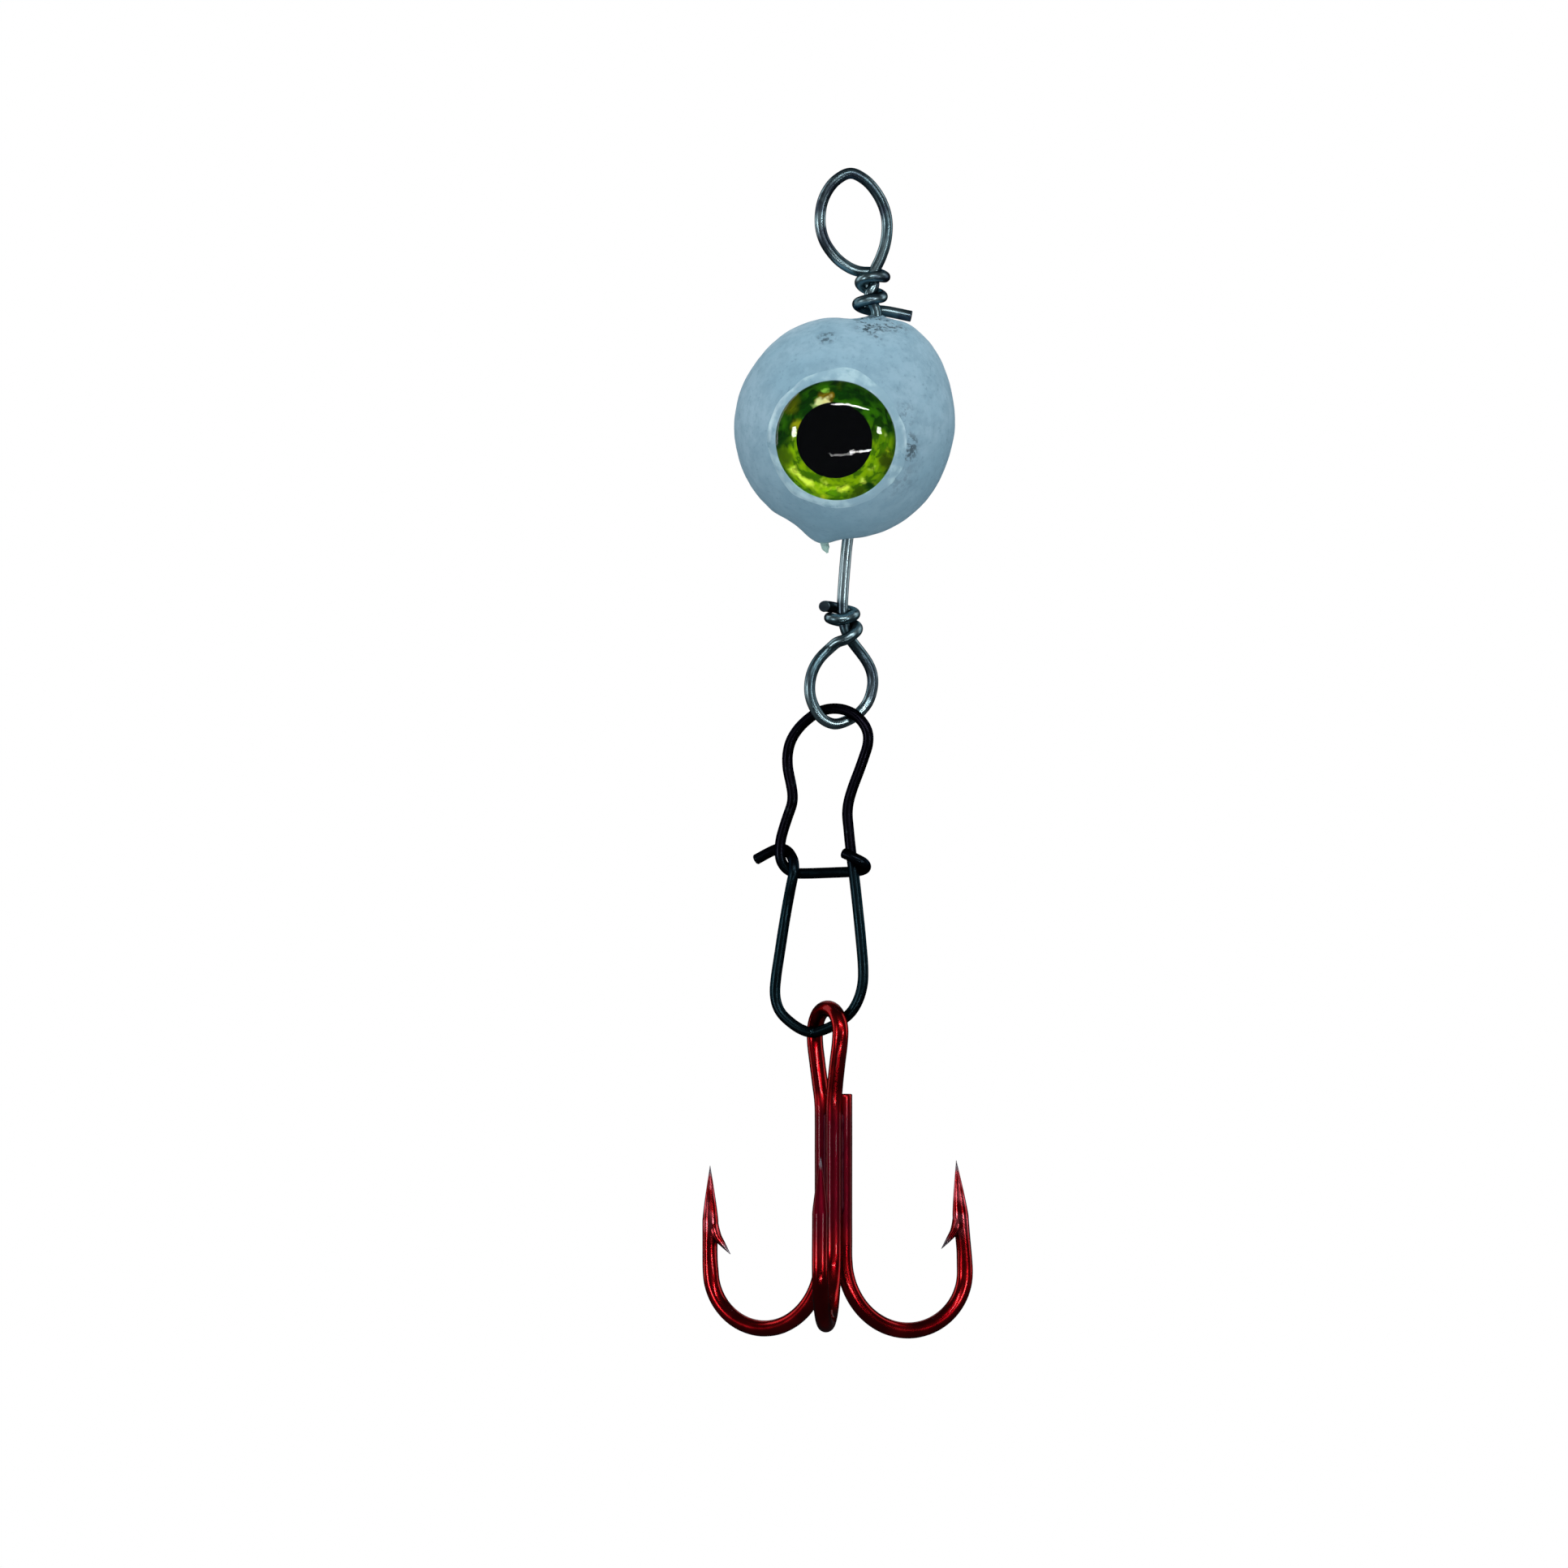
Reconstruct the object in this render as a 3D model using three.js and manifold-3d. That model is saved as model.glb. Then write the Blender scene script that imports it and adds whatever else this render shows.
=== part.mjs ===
// A jig head: an eyed lead ball cast on a through-wire, a bent-wire snap hung in
// the wire's lower loop, and a brazed treble hook hung in the snap.
//
// Millimetres, +Z up. The origin is the inside of the top loop (the line tie),
// the lure hangs down -Z and its front eye looks along -Y.

import * as THREE from 'three';
import { mergeVertices } from 'three/addons/utils/BufferGeometryUtils.js';
import Module from 'manifold-3d';

const wasm = await Module();
wasm.setup();

// ---------------------------------------------------------------- dimensions

const GAP = 0.02;                 // clearance between pieces cast or glued together

const SPINE_D = 0.69;             // stainless through-wire
const SNAP_D = 0.66;              // black nickel snap wire
const HOOK_D = 1.00;              // treble hook wire
const WIRE_SIDES = 8;

const BALL_CENTRE = new THREE.Vector3(-0.30, 0, -15.45);
const BALL_D = 13.60;             // over the dipped coat
const COAT_T = 0.38;

// The through-wire enters the ball off centre and leans a little.
const WIRE_TOP = new THREE.Vector3(1.50, 0, -8.90);
const WIRE_BOTTOM = new THREE.Vector3(-0.175, 0, -22.30);
const WIRE_HOLE_CLEARANCE = 0.04;

// The wire's closing wraps round itself: degrees (0 is +X, 90 the back), height,
// and where the core stands in X at that height.
const TOP_WRAP = {
  radius: 0.77,
  turns: [
    [90, -5.80, 1.36], [45, -5.96, 1.36], [0, -6.12, 1.36], [-45, -6.12, 1.36],
    [-90, -6.14, 1.36], [-135, -6.26, 1.35], [-180, -6.44, 1.34], [-225, -6.70, 1.31],
    [-270, -6.95, 1.28], [-315, -7.15, 1.24], [-360, -7.33, 1.20], [-405, -7.42, 1.18],
    [-450, -7.53, 1.17], [-495, -7.65, 1.17], [-540, -7.80, 1.19], [-585, -7.98, 1.22],
    [-630, -8.14, 1.25],
  ],
};
const LOWER_WRAP = {
  radius: 0.77,
  turns: [
    [0, -27.69, -0.36], [45, -27.52, -0.40], [90, -27.35, -0.44], [135, -27.22, -0.50],
    [180, -27.10, -0.54], [225, -27.18, -0.56], [270, -27.24, -0.54], [315, -27.06, -0.51],
    [360, -26.88, -0.49], [405, -26.72, -0.49], [450, -26.59, -0.50], [495, -26.45, -0.52],
  ],
};

const EYE = {
  tilt: new THREE.Vector3(-0.69, 6.15, -0.95), // front eye points a little down and left
  seatD: 7.90,
  seatFloor: 5.00,                // from the ball's centre
  padD: 7.40,
  padT: 0.20,
  foilD: 7.40,
  foilT: 0.10,
  pupilD: 4.36,
  pupilT: 0.05,
  pupilShift: -0.08,              // the print sits off the foil's centre
  domeD: 7.46,
  domeEdge: 5.76,                 // top of the dome's straight edge
  domeTop: 7.00,
  rimD: 8.84,
};

const LINK_ANGLE = THREE.MathUtils.degToRad(20); // each loop's plane off the view plane
const LINK_X = -0.80;             // where both loops' planes cross

const LATCH_CUT_GAP = 0.09;       // lets the latch arm turn on its root

const TREBLE_AXIS = new THREE.Vector2(-1.05, 0.15);
const SHANK_X = 0.66;             // side shanks, either side of the front one
const SHANK_FRONT = -0.50;
const SHANK_REAR = 0.28;
const HOOK_YAW = 25.5;            // right hook, degrees back from +X
const BEND_BOTTOM = -71.12;
const BEND_IN = { a: 4.44, b: 4.60 };
const BEND_OUT_B = 3.52;
const TAPER_L = 3.40;
const BARB = { root: 4.00, tip: 5.40, reach: 0.98 }; // below the point, out from the wire
const SINGLE_TOP = -56.50;        // cut end of the third, brazed-on wire
const BRAZE_TOP = -57.30;
const BRAZE_BOTTOM = -64.60;

// ----------------------------------------------------------------- materials

const metal = (color, roughness) =>
  new THREE.MeshStandardMaterial({ color, roughness, metalness: 1 });
const plastic = (color, roughness) =>
  new THREE.MeshStandardMaterial({ color, roughness, metalness: 0 });

const MATERIALS = {
  lead: metal(0x6c7076, 0.6),
  coat: plastic(0x9fc0d2, 0.7),
  stainless: metal(0x8fa3a8, 0.25),
  nickel: metal(0x14181d, 0.3),
  hook: metal(0xa01522, 0.25),
  braze: metal(0x7a1630, 0.35),
  adhesive: plastic(0xe8e8e0, 0.6),
  foil: metal(0x9cc31a, 0.3),
  pupil: plastic(0x050507, 0.3),
  dome: plastic(0xf2fff2, 0.05),
  glue: plastic(0xb4cedb, 0.25),
};

// ------------------------------------------------------------------- helpers

const v3 = (x, y, z) => new THREE.Vector3(x, y, z);

function solid(geometry) {
  const bare = geometry.clone();
  bare.deleteAttribute('normal');
  bare.deleteAttribute('uv');
  const merged = mergeVertices(bare, 1e-5);
  return new wasm.Manifold(new wasm.Mesh({
    numProp: 3,
    vertProperties: new Float32Array(merged.attributes.position.array),
    triVerts: new Uint32Array(merged.index.array),
  }));
}

function geometryOf(manifold) {
  const mesh = manifold.getMesh();
  const geometry = new THREE.BufferGeometry();
  geometry.setAttribute('position', new THREE.BufferAttribute(mesh.vertProperties, 3));
  geometry.setIndex(new THREE.BufferAttribute(mesh.triVerts, 1));
  geometry.computeVertexNormals();
  return geometry;
}

// A round section with a flat side to each axis.
function circle(radius, sides) {
  const points = [];
  for (let i = 0; i < sides; i += 1) {
    const angle = (2 * Math.PI * (i + 0.5)) / sides;
    points.push(new THREE.Vector2(radius * Math.cos(angle), radius * Math.sin(angle)));
  }
  return new THREE.Shape(points);
}

function tube(points, diameter, step = 0.45) {
  const path = new THREE.CatmullRomCurve3(points, false, 'centripetal');
  return new THREE.ExtrudeGeometry(circle(diameter / 2, WIRE_SIDES), {
    extrudePath: path,
    steps: Math.round(path.getLength() / step),
  });
}

// A cone or rod between two points.
function rod(from, to, radiusFrom, radiusTo, sides) {
  const axis = to.clone().sub(from);
  const geometry = new THREE.CylinderGeometry(radiusTo, radiusFrom, axis.length(), sides);
  geometry.translate(0, axis.length() / 2, 0);
  geometry.applyQuaternion(new THREE.Quaternion().setFromUnitVectors(
    v3(0, 1, 0), axis.normalize(),
  ));
  geometry.translate(from.x, from.y, from.z);
  return geometry;
}

// Points of a wire wrapped round an upright core.
function wrapPoints(wrap) {
  return wrap.turns.map(([degrees, z, coreX]) => {
    const angle = THREE.MathUtils.degToRad(degrees);
    return v3(coreX + wrap.radius * Math.cos(angle), wrap.radius * Math.sin(angle), z);
  });
}

function lathe(profile, segments) {
  const points = profile.map(([r, z]) => new THREE.Vector2(r, z));
  const geometry = new THREE.LatheGeometry(points, segments);
  geometry.rotateX(Math.PI / 2);
  return geometry;
}

const root = new THREE.Group();

function add(name, geometry, material, parent = root) {
  const mesh = new THREE.Mesh(geometry, material);
  mesh.name = name;
  parent.add(mesh);
  return mesh;
}

// --------------------------------------------------------------- through-wire

// The straight run's centre line at a given height.
function shaftAt(z) {
  const t = (z - WIRE_TOP.z) / (WIRE_BOTTOM.z - WIRE_TOP.z);
  return WIRE_TOP.clone().lerp(WIRE_BOTTOM, t);
}

// Both lower loops lean about the same upright line, in opposite senses.
const spinePlane = (x, z, out = 0) => v3(x, (x - LINK_X) * Math.tan(LINK_ANGLE) + out, z);
const snapPlane = (x, z, out = 0) => v3(x, (LINK_X - x) * Math.tan(LINK_ANGLE) + out, z);

function topLoop() {
  const left = [
    [0.72, -5.78, 0.72], [0.12, -5.62, 0.50], [-0.68, -5.12, 0.22], [-1.28, -4.45, 0.08],
    [-1.63, -3.85, 0], [-1.85, -3.05, 0], [-1.86, -2.20, 0], [-1.70, -1.40, 0],
    [-1.36, -0.70, 0], [-0.85, -0.12, 0],
  ];
  const right = [
    [0.88, -0.12, 0], [1.48, -0.75, 0], [1.95, -1.55, 0], [2.22, -2.45, 0], [2.25, -3.30, 0],
    [2.12, -4.15, 0], [1.83, -5.00, 0], [1.50, -5.70, 0],
  ];
  const crown = [[0, 0.29, 0]];
  return [...left, ...crown, ...right].map(([x, z, y]) => v3(x, y, z));
}

function lowerLoop() {
  const right = [
    [0.20, -28.72, -0.10], [0.62, -29.25], [1.04, -29.85], [1.30, -30.45], [1.38, -31.05],
    [1.30, -31.65], [1.10, -32.25], [0.70, -32.80], [0.08, -33.30],
  ];
  const bottom = [[-0.98, -33.66]];
  const left = [
    [-1.78, -33.30], [-2.25, -32.60], [-2.48, -31.95], [-2.52, -31.30], [-2.42, -30.65],
    [-2.18, -30.05], [-1.80, -29.50], [-1.22, -28.95, -0.12],
  ];
  return [...right, ...bottom, ...left].map(([x, z, out]) => spinePlane(x, z, out));
}

function spinePoints() {
  const stub = [v3(3.73, 0.74, -8.51), v3(2.05, 0.82, -8.18)];
  const tag = [
    v3(-1.42, 0.12, -26.41), v3(-1.56, -0.22, -26.40), v3(-1.62, -0.62, -26.42),
  ];
  return [
    ...stub,
    ...wrapPoints(TOP_WRAP).reverse(),
    ...topLoop(),
    v3(1.40, 0.01, -6.20),
    v3(1.45, -0.05, -6.65),
    v3(1.18, -0.10, -7.10),
    v3(1.20, -0.02, -7.50),
    v3(1.48, 0, -7.95),
    v3(1.60, 0, -8.35),
    shaftAt(WIRE_TOP.z),
    shaftAt(-9.80),
    shaftAt(-21.40),
    shaftAt(WIRE_BOTTOM.z),
    shaftAt(-22.90),
    v3(-0.44, 0, -25.20),
    v3(-0.50, 0, -26.40),
    v3(-0.47, 0, -27.00),
    v3(-0.37, 0, -27.60),
    v3(-0.15, 0, -28.20),
    ...lowerLoop(),
    v3(-0.82, -0.50, -28.62),
    v3(-0.30, -0.70, -28.45),
    v3(0.20, -0.64, -28.10),
    v3(0.42, -0.30, -27.86),
    ...wrapPoints(LOWER_WRAP),
    ...tag,
  ];
}

// ----------------------------------------------------------------------- head

// The eyes' outward directions: the back one mirrors the front one.
const EYE_DIRECTIONS = {
  front: v3(EYE.tilt.x, -EYE.tilt.y, EYE.tilt.z).normalize(),
  back: v3(EYE.tilt.x, EYE.tilt.y, EYE.tilt.z).normalize(),
};

function placeOnBall(geometry, direction) {
  geometry.applyQuaternion(new THREE.Quaternion().setFromUnitVectors(v3(0, 0, 1), direction));
  geometry.translate(BALL_CENTRE.x, BALL_CENTRE.y, BALL_CENTRE.z);
  return geometry;
}

function ball(radius) {
  const geometry = new THREE.SphereGeometry(radius, 32, 20);
  geometry.rotateX(Math.PI / 2);
  geometry.translate(BALL_CENTRE.x, BALL_CENTRE.y, BALL_CENTRE.z);
  return solid(geometry);
}

function seat(radius, floor, direction) {
  const depth = BALL_D / 2 - floor + 1;
  const geometry = new THREE.CylinderGeometry(radius, radius, depth, 32);
  geometry.rotateX(Math.PI / 2);
  geometry.translate(0, 0, floor + depth / 2);
  return solid(placeOnBall(geometry, direction));
}

// A ball with both eye seats cut in it.
function seatedBall(radius, seatRadius, floor) {
  let body = ball(radius);
  for (const direction of Object.values(EYE_DIRECTIONS)) {
    body = body.subtract(seat(seatRadius, floor, direction));
  }
  return body;
}

function wireHole() {
  const radius = SPINE_D / 2 + WIRE_HOLE_CLEARANCE;
  return solid(rod(shaftAt(-8.0), shaftAt(-23.2), radius, radius, 16));
}

function leadBall() {
  const core = seatedBall(BALL_D / 2 - COAT_T, EYE.seatD / 2 + COAT_T, EYE.seatFloor - COAT_T);
  return geometryOf(core.subtract(wireHole()));
}

// The dipped coat: a skin over the lead, with the drip left where it drained.
function headCoat() {
  const skin = COAT_T - GAP;
  const drip = solid(rod(v3(-1.62, 0, -21.70), v3(-1.42, 0, -23.10), 0.62, 0.14, 12));
  const outer = seatedBall(BALL_D / 2, EYE.seatD / 2, EYE.seatFloor).add(drip);
  const inner = seatedBall(BALL_D / 2 - skin, EYE.seatD / 2 + skin, EYE.seatFloor - skin);
  return geometryOf(outer.subtract(inner).subtract(wireHole()));
}

// One stick-on eye: pad, printed foil, pupil, clear dome, and the glue round it.
function addEye(side) {
  const direction = EYE_DIRECTIONS[side];
  const segments = 28;
  const disc = (diameter, low, high) => lathe(
    [[0, low], [diameter / 2, low], [diameter / 2, high], [0, high]],
    segments,
  );
  const padLow = EYE.seatFloor + GAP;
  const foilLow = padLow + EYE.padT + GAP;
  const pupilLow = foilLow + EYE.foilT + GAP;
  const domeLow = pupilLow;
  const pocket = domeLow + EYE.pupilT + GAP;
  const pocketR = EYE.pupilD / 2 + Math.abs(EYE.pupilShift) + GAP;

  const crown = [];
  const crownSteps = 5;
  for (let i = 0; i <= crownSteps; i += 1) {
    const angle = (Math.PI / 2) * (i / crownSteps);
    crown.push([
      (EYE.domeD / 2) * Math.cos(angle),
      EYE.domeEdge + (EYE.domeTop - EYE.domeEdge) * Math.sin(angle),
    ]);
  }
  crown[crownSteps][0] = 0;
  const domeProfile = [
    [0, pocket], [pocketR, pocket], [pocketR, domeLow], [EYE.domeD / 2, domeLow], ...crown,
  ];

  const rimInner = EYE.domeD / 2 + GAP;
  const lipR = EYE.seatD / 2;
  const onCoat = (r) => Math.sqrt((BALL_D / 2) ** 2 - r ** 2) + 0.03;
  const rimProfile = [
    [rimInner, domeLow], [lipR - GAP, domeLow], [lipR - GAP, onCoat(lipR)],
    [EYE.rimD / 2, onCoat(EYE.rimD / 2)], [EYE.rimD / 2 - 0.12, onCoat(EYE.rimD / 2) + 0.13],
    [rimInner + 0.16, EYE.domeEdge], [rimInner, EYE.domeEdge + 0.03], [rimInner, domeLow],
  ];

  const pieces = {
    adhesive: [disc(EYE.padD, padLow, padLow + EYE.padT), MATERIALS.adhesive],
    foil_iris: [disc(EYE.foilD, foilLow, foilLow + EYE.foilT), MATERIALS.foil],
    pupil: [disc(EYE.pupilD, pupilLow, pupilLow + EYE.pupilT), MATERIALS.pupil],
    dome: [lathe(domeProfile, segments), MATERIALS.dome],
    glue_rim: [lathe(rimProfile, segments), MATERIALS.glue],
  };
  pieces.pupil[0].translate(EYE.pupilShift, 0, 0);
  for (const [piece, [geometry, material]] of Object.entries(pieces)) {
    add(`${side}_eye_${piece}`, placeOnBall(geometry, direction), material);
  }
}

// ----------------------------------------------------------------------- snap

// The wire starts in the coil that closes the upper loop, runs as the crossbar,
// the upper loop and the right leg, and ends where the latch arm takes over.
function snapPoints() {
  const coil = [
    [-0.42, -41.60, -0.72], [-0.10, -41.74, -0.75], [0.36, -41.97, -0.72], [0.80, -42.20, -0.45],
    [0.95, -42.45, 0.06], [0.74, -42.65, 0.60], [0.20, -42.75, 0.75],
  ];
  const crossbar = [[-0.80, -42.80, 0.70], [-1.80, -42.84, 0.62], [-2.80, -42.87, 0.52]];
  const corner = [
    [-3.45, -42.84, 0.42], [-3.95, -42.58, 0.18], [-4.28, -42.10, 0.02], [-4.36, -41.55, 0],
  ];
  const upperLeft = [
    [-4.30, -40.80], [-4.10, -40.05], [-3.82, -39.20], [-3.60, -38.55], [-3.57, -38.00],
    [-3.68, -37.30], [-3.86, -36.40], [-3.88, -35.55], [-3.70, -34.75], [-3.30, -34.05],
  ];
  const arch = [[-2.70, -33.42], [-1.90, -32.88], [-0.95, -32.70], [0, -32.92], [0.72, -33.52]];
  const right = [
    [1.06, -34.20], [1.06, -34.90], [0.82, -35.70], [0.50, -36.60], [0.16, -37.50],
    [-0.12, -38.45], [-0.20, -39.20], [-0.13, -40.00], [-0.03, -41.05], [0.09, -42.05],
    [0.24, -43.20], [0.44, -45.00], [0.64, -47.00], [0.77, -48.70], [0.74, -49.65],
    [0.50, -50.58], [0.02, -51.42],
  ];
  const bottom = [
    [-0.80, -52.08], [-1.60, -52.48], [-2.35, -52.68], [-3.05, -52.48], [-3.70, -52.05],
  ];
  const root = [LATCH_ROOT.below, LATCH_ROOT.at];
  return [...coil, ...crossbar, ...corner, ...upperLeft, ...arch, ...right, ...bottom, ...root]
    .map(([x, z, out]) => snapPlane(x, z, out));
}

// Where the latch arm springs from, as points of the snap's wire.
const LATCH_ROOT = { below: [-4.30, -51.46], at: [-4.56, -50.90] };

// The springy leg: up in front of the crossbar, then behind the upper left leg.
function latchPoints() {
  const leg = [
    LATCH_ROOT.at, [-4.66, -50.20], [-4.58, -49.20], [-4.40, -48.00], [-4.10, -46.05],
    [-3.85, -44.60, -0.14], [-3.64, -43.50, -0.36], [-3.49, -42.75, -0.43],
  ];
  const hook = [
    [-3.50, -42.20, -0.22], [-3.67, -41.76, 0.34], [-3.95, -41.44, 0.76], [-4.36, -41.32, 0.82],
    [-4.90, -41.52, 0.80], [-5.82, -42.02, 0.78],
  ];
  const points = [...leg, ...hook].map(([x, z, out]) => snapPlane(x, z, out));
  const rise = points[1].clone().sub(points[0]).normalize();
  points[0].addScaledVector(rise, LATCH_CUT_GAP);
  return points;
}

// --------------------------------------------------------------------- treble

// Each hook: its direction, its shank's place, its spear's reach, how far its bend
// sits above the lowest one, how far its spear leans in, and its point's height.
const HOOKS = {
  right: {
    yaw: HOOK_YAW, x: SHANK_X, y: SHANK_REAR, gape: 8.30, lift: 0, lean: 0.60, pointZ: -60.65,
  },
  front: {
    yaw: HOOK_YAW - 121.5, x: 0, y: SHANK_FRONT, gape: 8.20, lift: 0.68, lean: 0.40,
    pointZ: -60.10,
  },
  left: {
    yaw: HOOK_YAW + 120, x: -SHANK_X, y: SHANK_REAR, gape: 8.42, lift: 0.10, lean: -0.04,
    pointZ: -61.02,
  },
};

// A point of one hook's plane: reach from its shank, and height.
function hookPoint(hook, reach, z) {
  const yaw = THREE.MathUtils.degToRad(hook.yaw);
  return v3(
    TREBLE_AXIS.x + hook.x + reach * Math.cos(yaw),
    TREBLE_AXIS.y + hook.y + reach * Math.sin(yaw),
    z,
  );
}

// Down the shank from the given height, round the bend and up to the taper.
function hookPoints(hook, shankHeights) {
  const points = shankHeights.map((z) => hookPoint(hook, 0, z));
  const bottom = BEND_BOTTOM + hook.lift;
  const arcSteps = 5;
  for (let i = 0; i <= arcSteps; i += 1) {
    const angle = (Math.PI / 2) * (i / arcSteps);
    points.push(hookPoint(
      hook,
      BEND_IN.a * (1 - Math.cos(angle)),
      bottom + BEND_IN.b * (1 - Math.sin(angle)),
    ));
  }
  for (let i = 1; i <= arcSteps; i += 1) {
    const angle = (Math.PI / 2) * (i / arcSteps);
    points.push(hookPoint(
      hook,
      BEND_IN.a + (hook.gape - BEND_IN.a) * Math.sin(angle),
      bottom + BEND_OUT_B * (1 - Math.cos(angle)),
    ));
  }
  points.push(spearPoint(hook, TAPER_L));
  return points;
}

// A point of the spear, a given drop below the hook's point; inward is towards
// the shank. The spear leans in from the bend's outer end to the point.
function spearPoint(hook, drop, inward = 0) {
  const length = hook.pointZ - (BEND_BOTTOM + hook.lift + BEND_OUT_B);
  const reach = hook.gape - hook.lean * (1 - drop / length) - inward;
  return hookPoint(hook, reach, hook.pointZ - drop);
}

// The ground point and the barb cut up from the spear's inner side.
function pointAndBarb(hook) {
  const radius = HOOK_D / 2;
  const tipRadius = 0.03;
  const foot = spearPoint(hook, TAPER_L + 0.1);
  const point = solid(rod(foot, spearPoint(hook, 0), radius * 0.96, tipRadius, WIRE_SIDES));
  const barbRoot = spearPoint(hook, BARB.root, radius * 0.4);
  const barbTip = spearPoint(hook, BARB.tip, radius + BARB.reach);
  return point.add(solid(rod(barbRoot, barbTip, 0.30, tipRadius, 6)));
}

// One wire makes the left hook, the eye and the front hook.
function doubleHook() {
  const { left, front } = HOOKS;
  const leftArm = hookPoints(left, [-58.20, -60.50, -63.20, -65.60]).reverse();
  const frontArm = hookPoints(front, [-58.20, -60.50, -63.20, -65.60]);
  const eye = [
    [-1.73, 0.48, -57.00], [-1.88, 0.78, -55.80], [-2.06, 1.16, -54.40], [-2.19, 1.42, -53.20],
    [-2.17, 1.38, -52.30], [-1.90, 0.88, -51.48], [-1.40, 0.07, -51.17], [-0.90, -0.75, -51.47],
    [-0.64, -1.17, -52.28], [-0.66, -1.18, -53.20], [-0.80, -0.96, -54.40],
    [-0.95, -0.66, -55.80], [-1.04, -0.42, -57.00],
  ];
  const wire = tube([...leftArm, ...eye.map(([x, y, z]) => v3(x, y, z)), ...frontArm], HOOK_D, 0.55);
  return geometryOf(solid(wire).add(pointAndBarb(left)).add(pointAndBarb(front)));
}

function singleHook() {
  const { right } = HOOKS;
  const wire = tube(hookPoints(right, [SINGLE_TOP, -60.50, -63.20, -65.60]), HOOK_D, 0.55);
  return geometryOf(solid(wire).add(pointAndBarb(right)));
}

// Braze metal in the grooves between two shanks, cut to the wires' shape.
function braze(shanks, halfWidth, offset) {
  const places = shanks.map((hook) => new THREE.Vector2(hook.x, hook.y).add(TREBLE_AXIS));
  const middle = places[0].clone().add(places[1]).multiplyScalar(0.5);
  const along = places[1].clone().sub(places[0]).normalize();
  const outward = new THREE.Vector2(along.y, -along.x).multiplyScalar(offset);
  const outline = [[-1, 0], [1, 0], [0.55, 1], [-0.55, 1]].map(([across, out]) => middle.clone()
    .addScaledVector(along, across * halfWidth)
    .addScaledVector(outward, out));
  const height = BRAZE_TOP - BRAZE_BOTTOM;
  const geometry = new THREE.ExtrudeGeometry(
    new THREE.Shape(outline),
    { depth: height, bevelEnabled: false },
  );
  geometry.translate(0, 0, BRAZE_BOTTOM);
  let body = solid(geometry);
  for (const hook of Object.values(HOOKS)) {
    const clearance = HOOK_D / 2 + GAP;
    body = body.subtract(solid(rod(
      hookPoint(hook, 0, BRAZE_TOP + 1),
      hookPoint(hook, 0, BRAZE_BOTTOM - 1),
      clearance,
      clearance,
      24,
    )));
  }
  return geometryOf(body);
}

// ------------------------------------------------------------------- assembly

add('lead_ball', leadBall(), MATERIALS.lead);
add('head_coat', headCoat(), MATERIALS.coat);
add('spine_wire', tube(spinePoints(), SPINE_D), MATERIALS.stainless);
addEye('front');
addEye('back');

add('snap_wire', tube(snapPoints(), SNAP_D, 0.5), MATERIALS.nickel);
add('snap_latch_arm', tube(latchPoints(), SNAP_D, 0.5), MATERIALS.nickel);

add('treble_double_hook', doubleHook(), MATERIALS.hook);
add('treble_single_hook', singleHook(), MATERIALS.hook);
add('braze_left', braze([HOOKS.left, HOOKS.front], 0.42, 0.36), MATERIALS.braze);
add('braze_right', braze([HOOKS.front, HOOKS.right], 0.42, 0.36), MATERIALS.braze);
add('braze_rear', braze([HOOKS.right, HOOKS.left], 0.70, 0.30), MATERIALS.braze);

export default root;
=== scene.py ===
"""A jig head: an eyed, dipped lead ball on a wire, with a snap and a red treble hook.

Lengths in the tables below are millimetres; everything is built in metres, +Z up,
with the line tie at the origin and the front eye looking along -Y.
"""

import math

import bmesh
import bpy
import numpy as np
from numpy.linalg import norm
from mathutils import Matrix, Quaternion, Vector, noise


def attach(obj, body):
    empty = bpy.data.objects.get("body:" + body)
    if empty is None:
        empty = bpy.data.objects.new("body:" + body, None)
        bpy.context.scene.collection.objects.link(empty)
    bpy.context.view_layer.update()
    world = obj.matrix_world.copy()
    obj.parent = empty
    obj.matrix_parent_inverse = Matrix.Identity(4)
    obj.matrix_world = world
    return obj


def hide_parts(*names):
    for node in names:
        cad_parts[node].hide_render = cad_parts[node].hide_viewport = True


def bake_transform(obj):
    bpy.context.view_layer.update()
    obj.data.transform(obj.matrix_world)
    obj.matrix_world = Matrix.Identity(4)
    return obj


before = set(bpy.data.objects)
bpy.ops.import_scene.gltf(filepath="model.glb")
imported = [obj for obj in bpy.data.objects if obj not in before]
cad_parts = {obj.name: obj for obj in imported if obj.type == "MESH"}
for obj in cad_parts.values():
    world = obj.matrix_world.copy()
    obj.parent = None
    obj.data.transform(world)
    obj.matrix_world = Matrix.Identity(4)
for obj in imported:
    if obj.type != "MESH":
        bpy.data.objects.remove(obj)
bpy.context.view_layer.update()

MM = 0.001

# ---- dimensions

SPINE_D = 0.69
SNAP_D = 0.66
HOOK_D = 1.0

BALL_CENTRE = np.array([-0.3, 0.0, -15.45])
BALL_R = 6.8
WIRE_TOP = np.array([1.5, 0.0, -8.9])
WIRE_BOTTOM = np.array([-0.175, 0.0, -22.3])

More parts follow.
